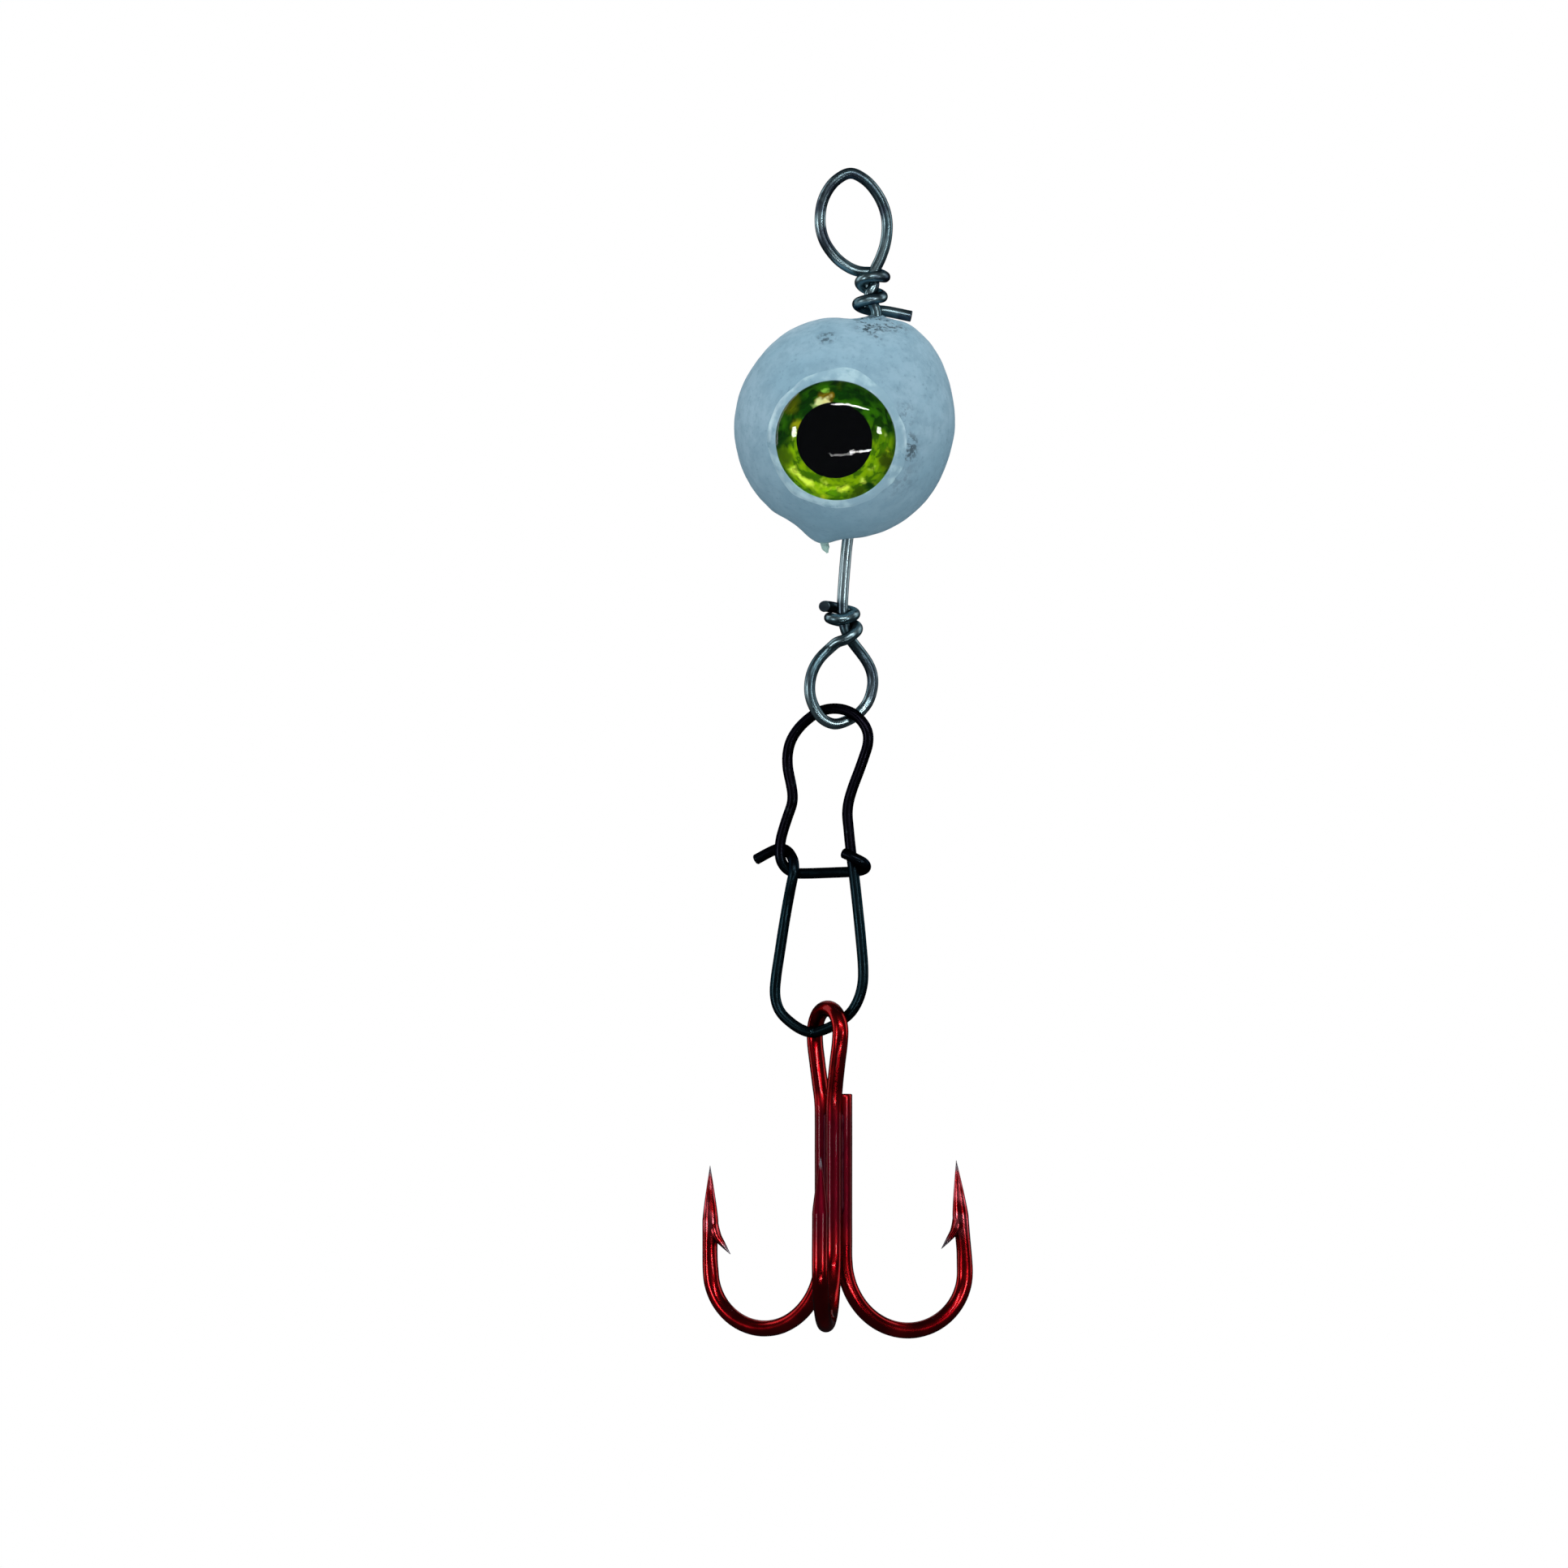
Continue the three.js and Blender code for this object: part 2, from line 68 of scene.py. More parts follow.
# The wire's closing wraps round itself: the first bearing in degrees (0 is +X, 90
# the back), the turn from point to point, then each point's height and where the
# core stands in X at that height.
WRAP_R = 0.77
TOP_WRAP = (90, -45, [
    (-5.8, 1.36), (-5.96, 1.36), (-6.12, 1.36), (-6.12, 1.36), (-6.14, 1.36),
    (-6.26, 1.35), (-6.44, 1.34), (-6.7, 1.31), (-6.95, 1.28), (-7.15, 1.24),
    (-7.33, 1.2), (-7.42, 1.18), (-7.53, 1.17), (-7.65, 1.17), (-7.8, 1.19),
    (-7.98, 1.22), (-8.14, 1.25),
])
LOWER_WRAP = (0, 45, [
    (-27.69, -0.36), (-27.52, -0.4), (-27.35, -0.44), (-27.22, -0.5), (-27.1, -0.54),
    (-27.18, -0.56), (-27.24, -0.54), (-27.06, -0.51), (-26.88, -0.49), (-26.72, -0.49),
    (-26.59, -0.5), (-26.45, -0.52),
])

EYE_TILT = {"front": (-0.69, -6.15, -0.95), "back": (-0.69, 6.15, -0.95)}
SEAT_R = 3.95
SEAT_FLOOR = 5.0
FOIL_R = 3.7
FOIL_LOW, FOIL_TOP = 5.24, 5.34
PUPIL_R = 2.18
PUPIL_SHIFT = -0.08
DOME_R = 3.73
DOME_EDGE, DOME_TOP = 5.76, 7.0
RIM_R = 4.3

LINK_TAN = math.tan(math.radians(20))
LINK_X = -0.8
# The stretch of the snap's wire that bends when its latch is pinched, as x and height.
SPRING_TOP = (-4.66, -50.2)

TREBLE_AXIS = np.array([-1.05, 0.15])
BEND_BOTTOM = -71.12
BEND_IN = (4.44, 4.6)
BEND_OUT_RISE = 3.52
TAPER = 3.4
SINGLE_TOP = -56.5
SHANK = [-60.5, -63.2, -65.6]
HOOKS = {
    "right": {"yaw": 25.5, "x": 0.66, "y": 0.28, "gape": 8.3, "lift": 0.0, "lean": 0.6,
              "point": -60.65},
    "front": {"yaw": -96.0, "x": 0.0, "y": -0.5, "gape": 8.2, "lift": 0.68, "lean": 0.4,
              "point": -60.10},
    "left": {"yaw": 145.5, "x": -0.66, "y": 0.28, "gape": 8.42, "lift": 0.1, "lean": -0.04,
             "point": -61.02},
}

# The eye of the treble, over from the left shank to the front one.
TREBLE_EYE = [
    (-1.73, 0.48, -57.0), (-1.88, 0.78, -55.8), (-2.06, 1.16, -54.4),
    (-2.19, 1.42, -53.2), (-2.17, 1.38, -52.3), (-1.9, 0.88, -51.48),
    (-1.4, 0.07, -51.17), (-0.9, -0.75, -51.47), (-0.64, -1.17, -52.28),
    (-0.66, -1.18, -53.2), (-0.8, -0.96, -54.4), (-0.95, -0.66, -55.8),
    (-1.04, -0.42, -57.0),
]

# ---- curves


def catmull_rom(points, per_span=14):
    """A centripetal Catmull-Rom curve through points, as a fine polyline."""
    p = np.asarray(points, float)
    p = np.vstack([2 * p[0] - p[1], p, 2 * p[-1] - p[-2]])
    out = []
    for p0, p1, p2, p3 in zip(p[:-3], p[1:-2], p[2:-1], p[3:]):
        d0, d1, d2 = (max(norm(b - a), 1e-6) ** 0.5
                      for a, b in ((p0, p1), (p1, p2), (p2, p3)))
        m1 = ((p1 - p0) / d0 - (p2 - p0) / (d0 + d1) + (p2 - p1) / d1) * d1
        m2 = ((p2 - p1) / d1 - (p3 - p1) / (d1 + d2) + (p3 - p2) / d2) * d1
        t = (np.arange(per_span) / per_span)[:, None]
        out.append(p1 + m1 * t + (3 * (p2 - p1) - 2 * m1 - m2) * t**2
                   + (2 * (p1 - p2) + m1 + m2) * t**3)
    return np.vstack([*out, p[-2][None]])


def evenly(path, step):
    """The polyline resampled at equal arc lengths."""
    lengths = np.r_[0, np.cumsum(norm(np.diff(path, axis=0), axis=1))]
    count = max(8, int(round(lengths[-1] / step)))
    at = np.linspace(0, lengths[-1], count + 1)
    return np.stack([np.interp(at, lengths, path[:, k]) for k in range(3)], axis=1)


def eased(path, passes):
    """The polyline with small kinks relaxed and its ends held."""
    path = path.copy()
    for _ in range(passes):
        path[1:-1] = (path[:-2] + 2 * path[1:-1] + path[2:]) / 4
    return path


def unit(v):
    v = np.asarray(v, float)
    return v / norm(v, axis=-1, keepdims=True)


def carried_frames(path):
    """Tangents and two normals along a path, carried without twist."""
    tangents = unit(np.gradient(path, axis=0))
    side = np.cross(tangents[0], (0.0, 0.0, 1.0))
    if norm(side) < 0.1:
        side = np.cross(tangents[0], (0.0, 1.0, 0.0))
    normals = [unit(side)]
    for k in range(1, len(path)):
        step = path[k] - path[k - 1]
        n, t = normals[-1], tangents[k - 1]
        size = step @ step
        n = n - 2 * (step @ n) / size * step
        t = t - 2 * (step @ t) / size * step
        turn = tangents[k] - t
        size = turn @ turn
        if size > 1e-14:
            n = n - 2 * (turn @ n) / size * turn
        normals.append(unit(n))
    normals = np.array(normals)
    return tangents, normals, np.cross(tangents, normals)


def wrap_points(first, turn, places):
    """Points of a wire wrapped round an upright core."""
    angles = [math.radians(first + turn * k) for k in range(len(places))]
    return [(x + WRAP_R * math.cos(a), WRAP_R * math.sin(a), z)
            for a, (z, x) in zip(angles, places)]


def ramp(x, low, high):
    """0 below low, 1 above high, smooth between."""
    t = np.clip((np.asarray(x, float) - low) / (high - low), 0, 1)
    return t * t * (3 - 2 * t)


def wobble(points, scale, seed=0.0, octaves=1):
    """Smooth noise from -1 to 1 at each point, with features about scale across."""
    out = np.zeros(len(points))
    for k, p in enumerate(points):
        v = Vector(p) / scale + Vector((seed, seed * 1.7, -seed))
        out[k] = noise.noise(v) if octaves == 1 else noise.fractal(v, 1.0, 2.0, octaves)
    return out


# ---- meshes


def in_scene(name, data):
    """An object in the scene that shows a mesh, light or camera."""
    ob = bpy.data.objects.new(name, data)
    bpy.context.scene.collection.objects.link(ob)
    return ob


def mesh_object(name, verts, faces, sharp=(), uvs=None, wear=None):
    """A smooth-shaded object from vertices in millimetres. sharp holds vertex pairs."""
    me = bpy.data.meshes.new(name)
    me.from_pydata((np.asarray(verts) * MM).tolist(), [], faces)
    me.polygons.foreach_set("use_smooth", [True] * len(me.polygons))
    if sharp:
        wanted = {tuple(sorted(pair)) for pair in sharp}
        for edge in me.edges:
            if tuple(sorted(edge.vertices)) in wanted:
                edge.use_edge_sharp = True
    if uvs is not None:
        layer = me.uv_layers.new(name="along_wire")
        layer.data.foreach_set("uv", np.asarray(uvs, np.float32).ravel())
    if wear is not None:
        attribute = me.attributes.new("wear", "FLOAT", "POINT")
        attribute.data.foreach_set("value", np.asarray(wear, np.float32))
    me.update()
    return in_scene(name, me)


def sweep(name, path, diameter, sides, radii, wear=None, chamfer=(0.035, 0.035)):
    """A wire along path with both ends closed.

    radii(s, length, centres, directions) gives each ring point's share of the full
    radius, and wear(s, length) the bare metal from 0 to 1. chamfer is each cut
    end's bevel; None leaves an end for a point.
    """
    tangents, normals, binormals = carried_frames(path)
    angle = 2 * np.pi * np.arange(sides) / sides
    directions = (normals[:, None] * np.cos(angle)[None, :, None]
                  + binormals[:, None] * np.sin(angle)[None, :, None])
    s = np.r_[0, np.cumsum(norm(np.diff(path, axis=0), axis=1))]
    share = radii(s, s[-1], path, directions)
    rings = path[:, None] + directions * (share * diameter / 2)[..., None]

    worn = np.zeros(len(path)) if wear is None else wear(s, s[-1])
    rings, along, worn = list(rings), list(s), list(worn)
    for end, bevel in ((0, chamfer[0]), (-1, chamfer[1])):
        if bevel is None:
            continue
        outward = tangents[end] * (-1 if end == 0 else 1)
        centre = path[end]
        ring = centre + (rings[end] - centre) * (1 - bevel / (diameter / 2))
        ring = ring + outward * bevel
        at = 0 if end == 0 else len(rings)
        for values, extra in ((rings, ring), (along, along[end]), (worn, worn[end])):
            values.insert(at, extra)

    count = len(rings)
    verts = np.concatenate([np.concatenate(rings),
                            [rings[0].mean(0), rings[-1].mean(0)]])
    faces, uvs = [], []
    for i in range(count - 1):
        for j in range(sides):
            k = (j + 1) % sides
            a, b = i * sides, (i + 1) * sides
            faces.append((a + j, a + k, b + k, b + j))
            uvs += [(along[i], j / sides), (along[i], (j + 1) / sides),
                    (along[i + 1], (j + 1) / sides), (along[i + 1], j / sides)]
    first, last, top = count * sides, count * sides + 1, (count - 1) * sides
    for j in range(sides):
        k = (j + 1) % sides
        faces += [(first, k, j), (last, top + j, top + k)]
        uvs += [(along[0], 0.5)] * 3 + [(along[-1], 0.5)] * 3
    sharp = []
    for end, base in ((0, 0), (1, top)):
        if chamfer[end] is not None:
            sharp += [(base + j, base + (j + 1) % sides) for j in range(sides)]
    wear_values = list(np.repeat(worn, sides)) + [worn[0], worn[-1]]
    return mesh_object(name, verts, faces, sharp, uvs, wear_values)


def joined(name, objects):
    """One object from several, keeping the first one's data layers."""
    bm = bmesh.new()
    for ob in objects:
        bm.from_mesh(ob.data)
        bpy.data.objects.remove(ob)
    me = bpy.data.meshes.new(name)
    bm.to_mesh(me)
    bm.free()
    return in_scene(name, me)


def finish_piece(ob, material, body, slot, *nodes):
    ob.data.materials.append(material)
    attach(ob, body)
    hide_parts(*nodes)


# ---- materials

# Near the middle of the front eye's foil.
EYE_MIDDLE = (-0.85, -5.2, -16.28)

# Where dirt and pits gather on the coat: place, full within, gone beyond, strength.
DIRT = [
    ((1.3, -1.3, -8.9), 0.6, 1.4, 1.0),
    ((1.2, -2.9, -9.6), 0.4, 1.3, 1.0),
    ((0.9, -1.9, -9.0), 0.4, 0.9, 1.0),
    ((1.6, -3.8, -10.2), 0.1, 0.6, 1.0),
    ((2.5, -2.2, -9.5), 0.3, 1.4, 0.9),
    ((-1.5, -3.9, -10.0), 0.2, 0.9, 0.75),
    ((3.3, -5.2, -16.7), 0.4, 1.3, 0.85),
    ((3.1, -5.4, -14.8), 0.1, 1.2, 0.5),
    ((3.4, -5.2, -19.0), 0.3, 2.2, 0.3),
    ((-3.0, -5.4, -19.8), 0.3, 2.0, 0.25),
]

# Broad tints of the foil, part print and part painted reflection: place, full within, gone
# beyond, colour.
FOIL_PATCHES = [
    ((-2.6, -5.2, -14.35), 0.3, 1.1, (0.003, 0.034, 0.001)),
    ((-3.45, -5.2, -15.3), 0.2, 0.8, (0.004, 0.038, 0.001)),
    ((-4.15, -5.0, -16.3), 0.3, 1.0, (0.004, 0.038, 0.001)),
    ((-3.55, -5.2, -14.1), 0.2, 0.8, (0.1, 0.13, 0.001)),
    ((-0.6, -5.4, -13.35), 0.3, 1.0, (0.004, 0.045, 0.001)),
    ((0.3, -5.4, -13.6), 0.3, 0.9, (0.002, 0.03, 0.001)),
    ((1.1, -5.4, -14.0), 0.3, 0.8, (0.003, 0.036, 0.001)),
    ((-0.6, -5.4, -12.85), 0.2, 0.6, (0.07, 0.13, 0.001)),
    ((0.9, -5.4, -13.2), 0.2, 0.6, (0.06, 0.12, 0.001)),
    ((2.2, -5.1, -14.7), 0.3, 0.8, (0.008, 0.09, 0.001)),
    ((2.35, -5.1, -15.6), 0.3, 0.8, (0.003, 0.045, 0.001)),
    ((2.05, -5.1, -17.4), 0.3, 0.85, (0.045, 0.085, 0.001)),
    ((1.1, -5.0, -18.95), 0.2, 0.6, (0.004, 0.045, 0.001)),
    ((0.3, -5.0, -19.5), 0.3, 0.8, (0.055, 0.12, 0.001)),
    ((-3.05, -4.9, -19.1), 0.2, 0.5, (0.008, 0.05, 0.001)),
    ((-2.3, -4.9, -19.6), 0.2, 0.5, (0.008, 0.05, 0.001)),
    ((-3.9, -5.0, -17.3), 0.3, 0.8, (0.06, 0.13, 0.001)),
]

# Painted highlights on the folds of the foil: place, full within, gone beyond, colour.
FOIL_PAINTED_HIGHLIGHTS = [
    ((-1.65, -5.6, -13.85), 0.1, 0.45, (0.24, 0.15, 0.004)),
    ((-1.2, -5.6, -13.85), 0.1, 0.45, (0.26, 0.15, 0.004)),
    ((-2.15, -5.6, -14.4), 0.2, 0.45, (0.4, 0.62, 0.16)),
    ((-1.8, -5.6, -14.2), 0.2, 0.42, (0.85, 0.9, 0.4)),
    ((-1.35, -5.6, -14.12), 0.2, 0.42, (0.9, 0.84, 0.34)),
    ((-2.55, -5.5, -14.85), 0.1, 0.35, (0.08, 0.42, 0.06)),
    ((-1.55, -5.4, -13.4), 0.1, 0.28, (0.3, 0.66, 0.06)),
    ((-3.2, -5.2, -16.0), 0.1, 0.4, (0.72, 0.84, 0.12)),
    ((-3.15, -5.2, -15.4), 0.1, 0.55, (0.34, 0.36, 0.005)),
    ((1.85, -5.2, -15.8), 0.1, 0.35, (0.6, 0.8, 0.15)),
    ((1.45, -5.2, -15.15), 0.1, 0.4, (0.08, 0.42, 0.04)),
    ((2.2, -5.0, -16.75), 0.2, 0.45, (0.68, 0.8, 0.02)),
    ((-3.45, -4.9, -18.05), 0.1, 0.42, (0.76, 0.98, 0.08)),
    ((-3.15, -4.9, -18.3), 0.1, 0.42, (0.76, 0.98, 0.08)),
    ((-2.85, -4.9, -18.55), 0.1, 0.42, (0.76, 0.98, 0.08)),
    ((-2.5, -4.9, -18.75), 0.1, 0.42, (0.76, 0.98, 0.08)),
    ((-2.15, -4.9, -18.98), 0.1, 0.42, (0.76, 0.96, 0.06)),
    ((-1.65, -4.9, -18.65), 0.1, 0.36, (0.74, 0.92, 0.08)),
    ((-1.6, -4.9, -19.5), 0.1, 0.42, (0.74, 0.82, 0.02)),
    ((-1.2, -4.9, -19.0), 0.1, 0.4, (0.82, 0.98, 0.08)),
    ((-0.85, -4.9, -19.05), 0.1, 0.4, (0.82, 0.98, 0.08)),
    ((-0.5, -4.9, -19.0), 0.1, 0.4, (0.76, 0.96, 0.06)),
    ((0.65, -4.9, -18.45), 0.1, 0.38, (0.72, 0.92, 0.1)),
    ((0.95, -4.9, -18.3), 0.1, 0.38, (0.72, 0.92, 0.1)),
    ((1.22, -4.9, -18.08), 0.1, 0.38, (0.72, 0.92, 0.1)),
    ((1.55, -4.9, -18.6), 0.1, 0.38, (0.66, 0.88, 0.06)),
]

# Painted highlights on the glue rim: place, full within, gone beyond.
RIM_PAINTED_HIGHLIGHTS = [
    ((2.75, -5.0, -18.1), 0.1, 0.55),
    ((2.45, -5.0, -18.7), 0.1, 0.6),
    ((-2.9, -4.8, -20.05), 0.1, 0.7),
    ((-4.75, -4.9, -15.3), 0.1, 0.7),
    ((-0.5, -5.4, -12.3), 0.2, 1.1),
]


class Nodes:
    """Short ways to build one material's node tree. Coordinates are in millimetres."""

    def __init__(self, name):
        self.material = bpy.data.materials.new(name)
        self.material.use_nodes = True
        self.tree = self.material.node_tree
        self.shader = self.tree.nodes["Principled BSDF"]
        metres = self.new("ShaderNodeTexCoord").outputs["Object"]
        self.place = self.vector("MULTIPLY", metres, (1 / MM,) * 3)

    def new(self, kind, inputs=None, **settings):
        """A node with its settings, and inputs linked or set by name or number."""
        node = self.tree.nodes.new(kind)
        for key, value in settings.items():
            setattr(node, key, value)
        for key, value in (inputs or {}).items():
            self.feed(node.inputs[key], value)
        return node

    def feed(self, socket, value):
        """Link a socket to another node's output, or give it a constant."""
        if hasattr(value, "is_linked"):
            self.tree.links.new(value, socket)
        else:
            socket.default_value = value

    def set(self, **values):
        for key, value in values.items():
            self.feed(self.shader.inputs[key.replace("_", " ")], value)

    def vector(self, operation, *values):
        node = self.new("ShaderNodeVectorMath", dict(enumerate(values)), operation=operation)
        return node.outputs["Value" if operation in ("DISTANCE", "LENGTH") else "Vector"]

    def noise(self, scale, detail=3.0, roughness=0.55, vector=None, distortion=0.0):
        node = self.new("ShaderNodeTexNoise", {
            "Vector": vector or self.place, "Scale": scale, "Detail": detail,
            "Roughness": roughness, "Distortion": distortion})
        return node.outputs["Fac"]

    def cells(self, scale):
        node = self.new("ShaderNodeTexVoronoi", {"Vector": self.place, "Scale": scale})
        return node.outputs["Distance"]

    def streaks(self, per_mm, around):
        """Noise drawn out along a wire."""
        uv = self.new("ShaderNodeUVMap", uv_map="along_wire").outputs[0]
        return self.noise(1.0, 1, 0.5, self.vector("MULTIPLY", uv, (per_mm, around, 1)))

    def attribute(self, name):
        return self.new("ShaderNodeAttribute", attribute_name=name).outputs["Fac"]

    def remap(self, value, low, high, to_low=0.0, to_high=1.0):
        inputs = dict(enumerate((value, low, high, to_low, to_high)))
        node = self.new("ShaderNodeMapRange", inputs, interpolation_type="SMOOTHSTEP")
        return node.outputs["Result"]

    def between(self, value, low, high):
        """A noise's middle range stretched from low to high."""
        return self.remap(value, 0.3, 0.7, low, high)

    def maths(self, operation, a, b):
        return self.new("ShaderNodeMath", {0: a, 1: b}, operation=operation).outputs[0]

    def times(self, a, b):
        return self.maths("MULTIPLY", a, b)

    def blend(self, share, a, b):
        """Colour a where share is 0 and b where it is 1."""
        a, b = ((*c, 1) if isinstance(c, tuple) else c for c in (a, b))
        inputs = {"Factor": share, 6: a, 7: b}
        return self.new("ShaderNodeMix", inputs, data_type="RGBA").outputs[2]

    def near(self, point, inner, outer, place=None):
        """1 within inner of a point, 0 beyond outer."""
        away = self.vector("DISTANCE", place or self.place, point)
        return self.remap(away, inner, outer, 1.0, 0.0)

    def unsettled(self, scale, amount):
        """The coordinates pushed about by up to half of amount, for ragged outlines."""
        texture = self.new("ShaderNodeTexNoise", {"Vector": self.place, "Scale": scale})
        push = self.vector("MULTIPLY_ADD", texture.outputs["Color"], (amount,) * 3,
                           (-amount / 2,) * 3)
        return self.vector("ADD", self.place, push)

    def axis(self, name):
        return self.new("ShaderNodeSeparateXYZ", {0: self.place}).outputs[name]

    def from_eye_centre(self):
        """Distance from the eye's axis, across it, close enough for either eye."""
        out = self.vector("SUBTRACT", self.place, EYE_MIDDLE)
        return self.vector("LENGTH", self.vector("MULTIPLY", out, (1, 0, 1)))

    def round_eye(self, around, outward):
        """Coordinates drawn out round the eye's axis, in millimetres there."""
        across = self.maths("SUBTRACT", self.axis("X"), EYE_MIDDLE[0])
        above = self.maths("SUBTRACT", self.axis("Z"), EYE_MIDDLE[2])
        node = self.new("ShaderNodeCombineXYZ", {
            "X": self.times(self.maths("ARCTAN2", above, across), 3.0 * around),
            "Y": self.times(self.from_eye_centre(), outward),
            "Z": self.times(self.axis("Y"), 0.2)})
        return node.outputs[0]

    def bump(self, height, depth_mm, strength=1.0, under=None):
        inputs = {"Height": height, "Strength": strength, "Distance": depth_mm * MM}
        if under is not None:
            inputs["Normal"] = under
        return self.new("ShaderNodeBump", inputs).outputs["Normal"]


def stainless_material():
    m = Nodes("drawn_stainless")
    lines = m.remap(m.streaks(0.2, 5), 0.36, 0.64)
    stain = m.times(m.remap(m.noise(0.42, 3, 0.55), 0.47, 0.6),
                    m.remap(m.axis("Z"), -24.0, -10.0, 0.7, 0.85))
    run = m.times(m.remap(m.axis("Z"), -26.3, -25.6),
                  m.remap(m.axis("Z"), -22.0, -21.0, 1.0, 0.0))
    steel = m.blend(lines, (0.09, 0.16, 0.19), (0.32, 0.45, 0.49))
    steel = m.blend(stain, steel, (0.04, 0.05, 0.08))
    steel = m.blend(run, steel, (0.38, 0.5, 0.54))
    m.set(Base_Color=steel, Metallic=1.0, Specular_Tint=(0.03, 0.05, 0.06, 1))
    m.set(Roughness=m.between(m.noise(0.8, 1), 0.26, 0.38))
    m.set(Normal=m.bump(m.noise(0.7, 0), 0.06, 0.2))
    return m.material


def nickel_material():
    m = Nodes("black_nickel")
    lines = m.streaks(0.25, 5)
    # Painted reflection: the wire below the snap's waist is coloured teal and the wire above it
    # black.
    black_above_painted_teal_below = m.remap(m.axis("Z"), -43.5, -41.0)
    low = m.blend(lines, (0.005, 0.013, 0.018), (0.013, 0.031, 0.04))
    high = m.blend(lines, (0.003, 0.003, 0.005), (0.01, 0.009, 0.016))
    worn = m.remap(m.noise(2.0, 3, 0.6), 0.58, 0.72)
    colour = m.blend(m.times(worn, 0.2), m.blend(black_above_painted_teal_below, low, high), (0.06, 0.09, 0.1))
    m.set(Base_Color=colour, Metallic=1.0, Specular_Tint=(0.04, 0.06, 0.07, 1))
    m.set(Roughness=m.between(m.noise(0.9, 1), 0.26, 0.38))
    m.set(Normal=m.bump(m.noise(0.9, 0), 0.05, 0.2))
    return m.material


def hook_material():
    m = Nodes("red_lacquered_hook")
    streaks = m.streaks(0.25, 4)
    patches = m.remap(m.noise(0.55, 2, 0.5), 0.38, 0.64)
    red = m.blend(streaks, (0.16, 0.001, 0.003), (0.3, 0.0016, 0.005))
    red = m.blend(m.times(patches, 0.6), red, (0.54, 0.012, 0.015))
    shank = m.times(m.remap(m.axis("Z"), -67.0, -63.5),
                    m.remap(m.axis("Z"), -58.5, -56.0, 1.0, 0.0))
    across = m.maths("SUBTRACT", m.axis("X"), float(TREBLE_AXIS[0]))
    off_axis = m.remap(m.times(across, across), 2.5, 6.0)
    shank = m.times(shank, m.maths("SUBTRACT", 1.0, off_axis))
    # Lighter pink near the points: the lacquer is thin where the spears were ground, with a
    # painted highlight on it.
    thin = m.times(m.times(off_axis, m.remap(m.axis("Z"), -65.8, -64.0)),
                   m.remap(m.streaks(0.9, 3), 0.42, 0.58, 0.0, 0.8))
    plum = m.blend(m.noise(1.0, 2, 0.5), (0.09, 0.001, 0.008), (0.15, 0.002, 0.014))
    red = m.blend(m.times(shank, 0.9), red, plum)
    red = m.blend(thin, red, (0.75, 0.12, 0.15))
    bare = m.attribute("wear")
    worn = m.remap(m.maths("ADD", bare, m.times(m.noise(5.0, 4), 0.5)), 0.62, 1.15)
    colour = m.blend(worn, red, (0.22, 0.19, 0.22))
    m.set(Base_Color=colour, Metallic=1.0, Specular_Tint=(0.1, 0.01, 0.02, 1))
    m.set(Roughness=m.maths("ADD", m.between(m.noise(0.9, 1), 0.2, 0.3),
                            m.times(shank, 0.22)))
    m.set(Coat_Weight=0.2, Coat_Roughness=0.06)
    m.set(Normal=m.bump(m.noise(0.7, 0), 0.09, 0.28))
    return m.material


def braze_material():
    m = Nodes("lacquered_braze")
    flow = m.noise(1.6, 5, 0.65, distortion=0.6)
    purple = m.blend(flow, (0.07, 0.001, 0.01), (0.13, 0.002, 0.024))
    m.set(Base_Color=purple, Metallic=1.0, Specular_Tint=(0.1, 0.01, 0.03, 1))
    m.set(Roughness=m.between(m.noise(3.0, 4), 0.4, 0.55))
    m.set(Coat_Weight=0.08, Coat_Roughness=0.15, Normal=m.bump(flow, 0.05, 0.5))
    return m.material


def lead_material():
    m = Nodes("cast_lead")
    grain = m.noise(2.2, 5, 0.65)
    m.set(Base_Color=m.blend(grain, (0.1, 0.105, 0.115), (0.22, 0.23, 0.245)), Metallic=1.0)
    m.set(Roughness=m.between(grain, 0.5, 0.75), Normal=m.bump(grain, 0.06, 0.6))
    return m.material


def adhesive_material():
    m = Nodes("foam_adhesive")
    pores = m.cells(9.0)
    m.set(Base_Color=m.blend(pores, (0.55, 0.55, 0.5), (0.78, 0.78, 0.73)))
    m.set(Roughness=m.remap(pores, 0.1, 0.6, 0.55, 0.8), Normal=m.bump(pores, 0.03, 0.5))
    return m.material


def coat_material():
    m = Nodes("dipped_coat")
    broad = m.remap(m.noise(0.22, 3, 0.5), 0.35, 0.65)
    cloud = m.noise(0.9, 5, 0.62)
    grain = m.noise(7.0, 4, 0.7)
    fleck = m.remap(m.noise(3.6, 5, 0.75), 0.58, 0.7)
    blue = m.blend(broad, (0.205, 0.345, 0.425), (0.262, 0.4, 0.48))
    blue = m.blend(m.remap(cloud, 0.36, 0.68, 0, 0.55), blue, (0.145, 0.258, 0.325))
    shade = m.remap(m.axis("Z"), -22.5, -14.0, 0.62, 0.0)
    blue = m.blend(shade, blue, (0.095, 0.195, 0.255))
    blue = m.blend(m.times(fleck, 0.45), blue, (0.085, 0.165, 0.215))
    blue = m.blend(m.times(m.near((-1.55, 0, -22.9), 0.2, 0.9), 0.7),
                   blue, (0.34, 0.52, 0.42))
    speckle = m.remap(m.noise(2.4, 4, 0.7), 0.48, 0.58)
    for spot, inner, outer, amount in DIRT:
        mask = m.times(m.near(spot, inner, outer), speckle)
        blue = m.blend(m.times(mask, amount), blue, (0.022, 0.042, 0.055))
    m.set(Base_Color=blue)
    m.set(Roughness=m.between(cloud, 0.48, 0.68), Specular_IOR_Level=0.35)
    lumps = m.bump(cloud, 0.16, 0.35)
    m.set(Normal=m.bump(grain, 0.02, 0.45, lumps))
    return m.material


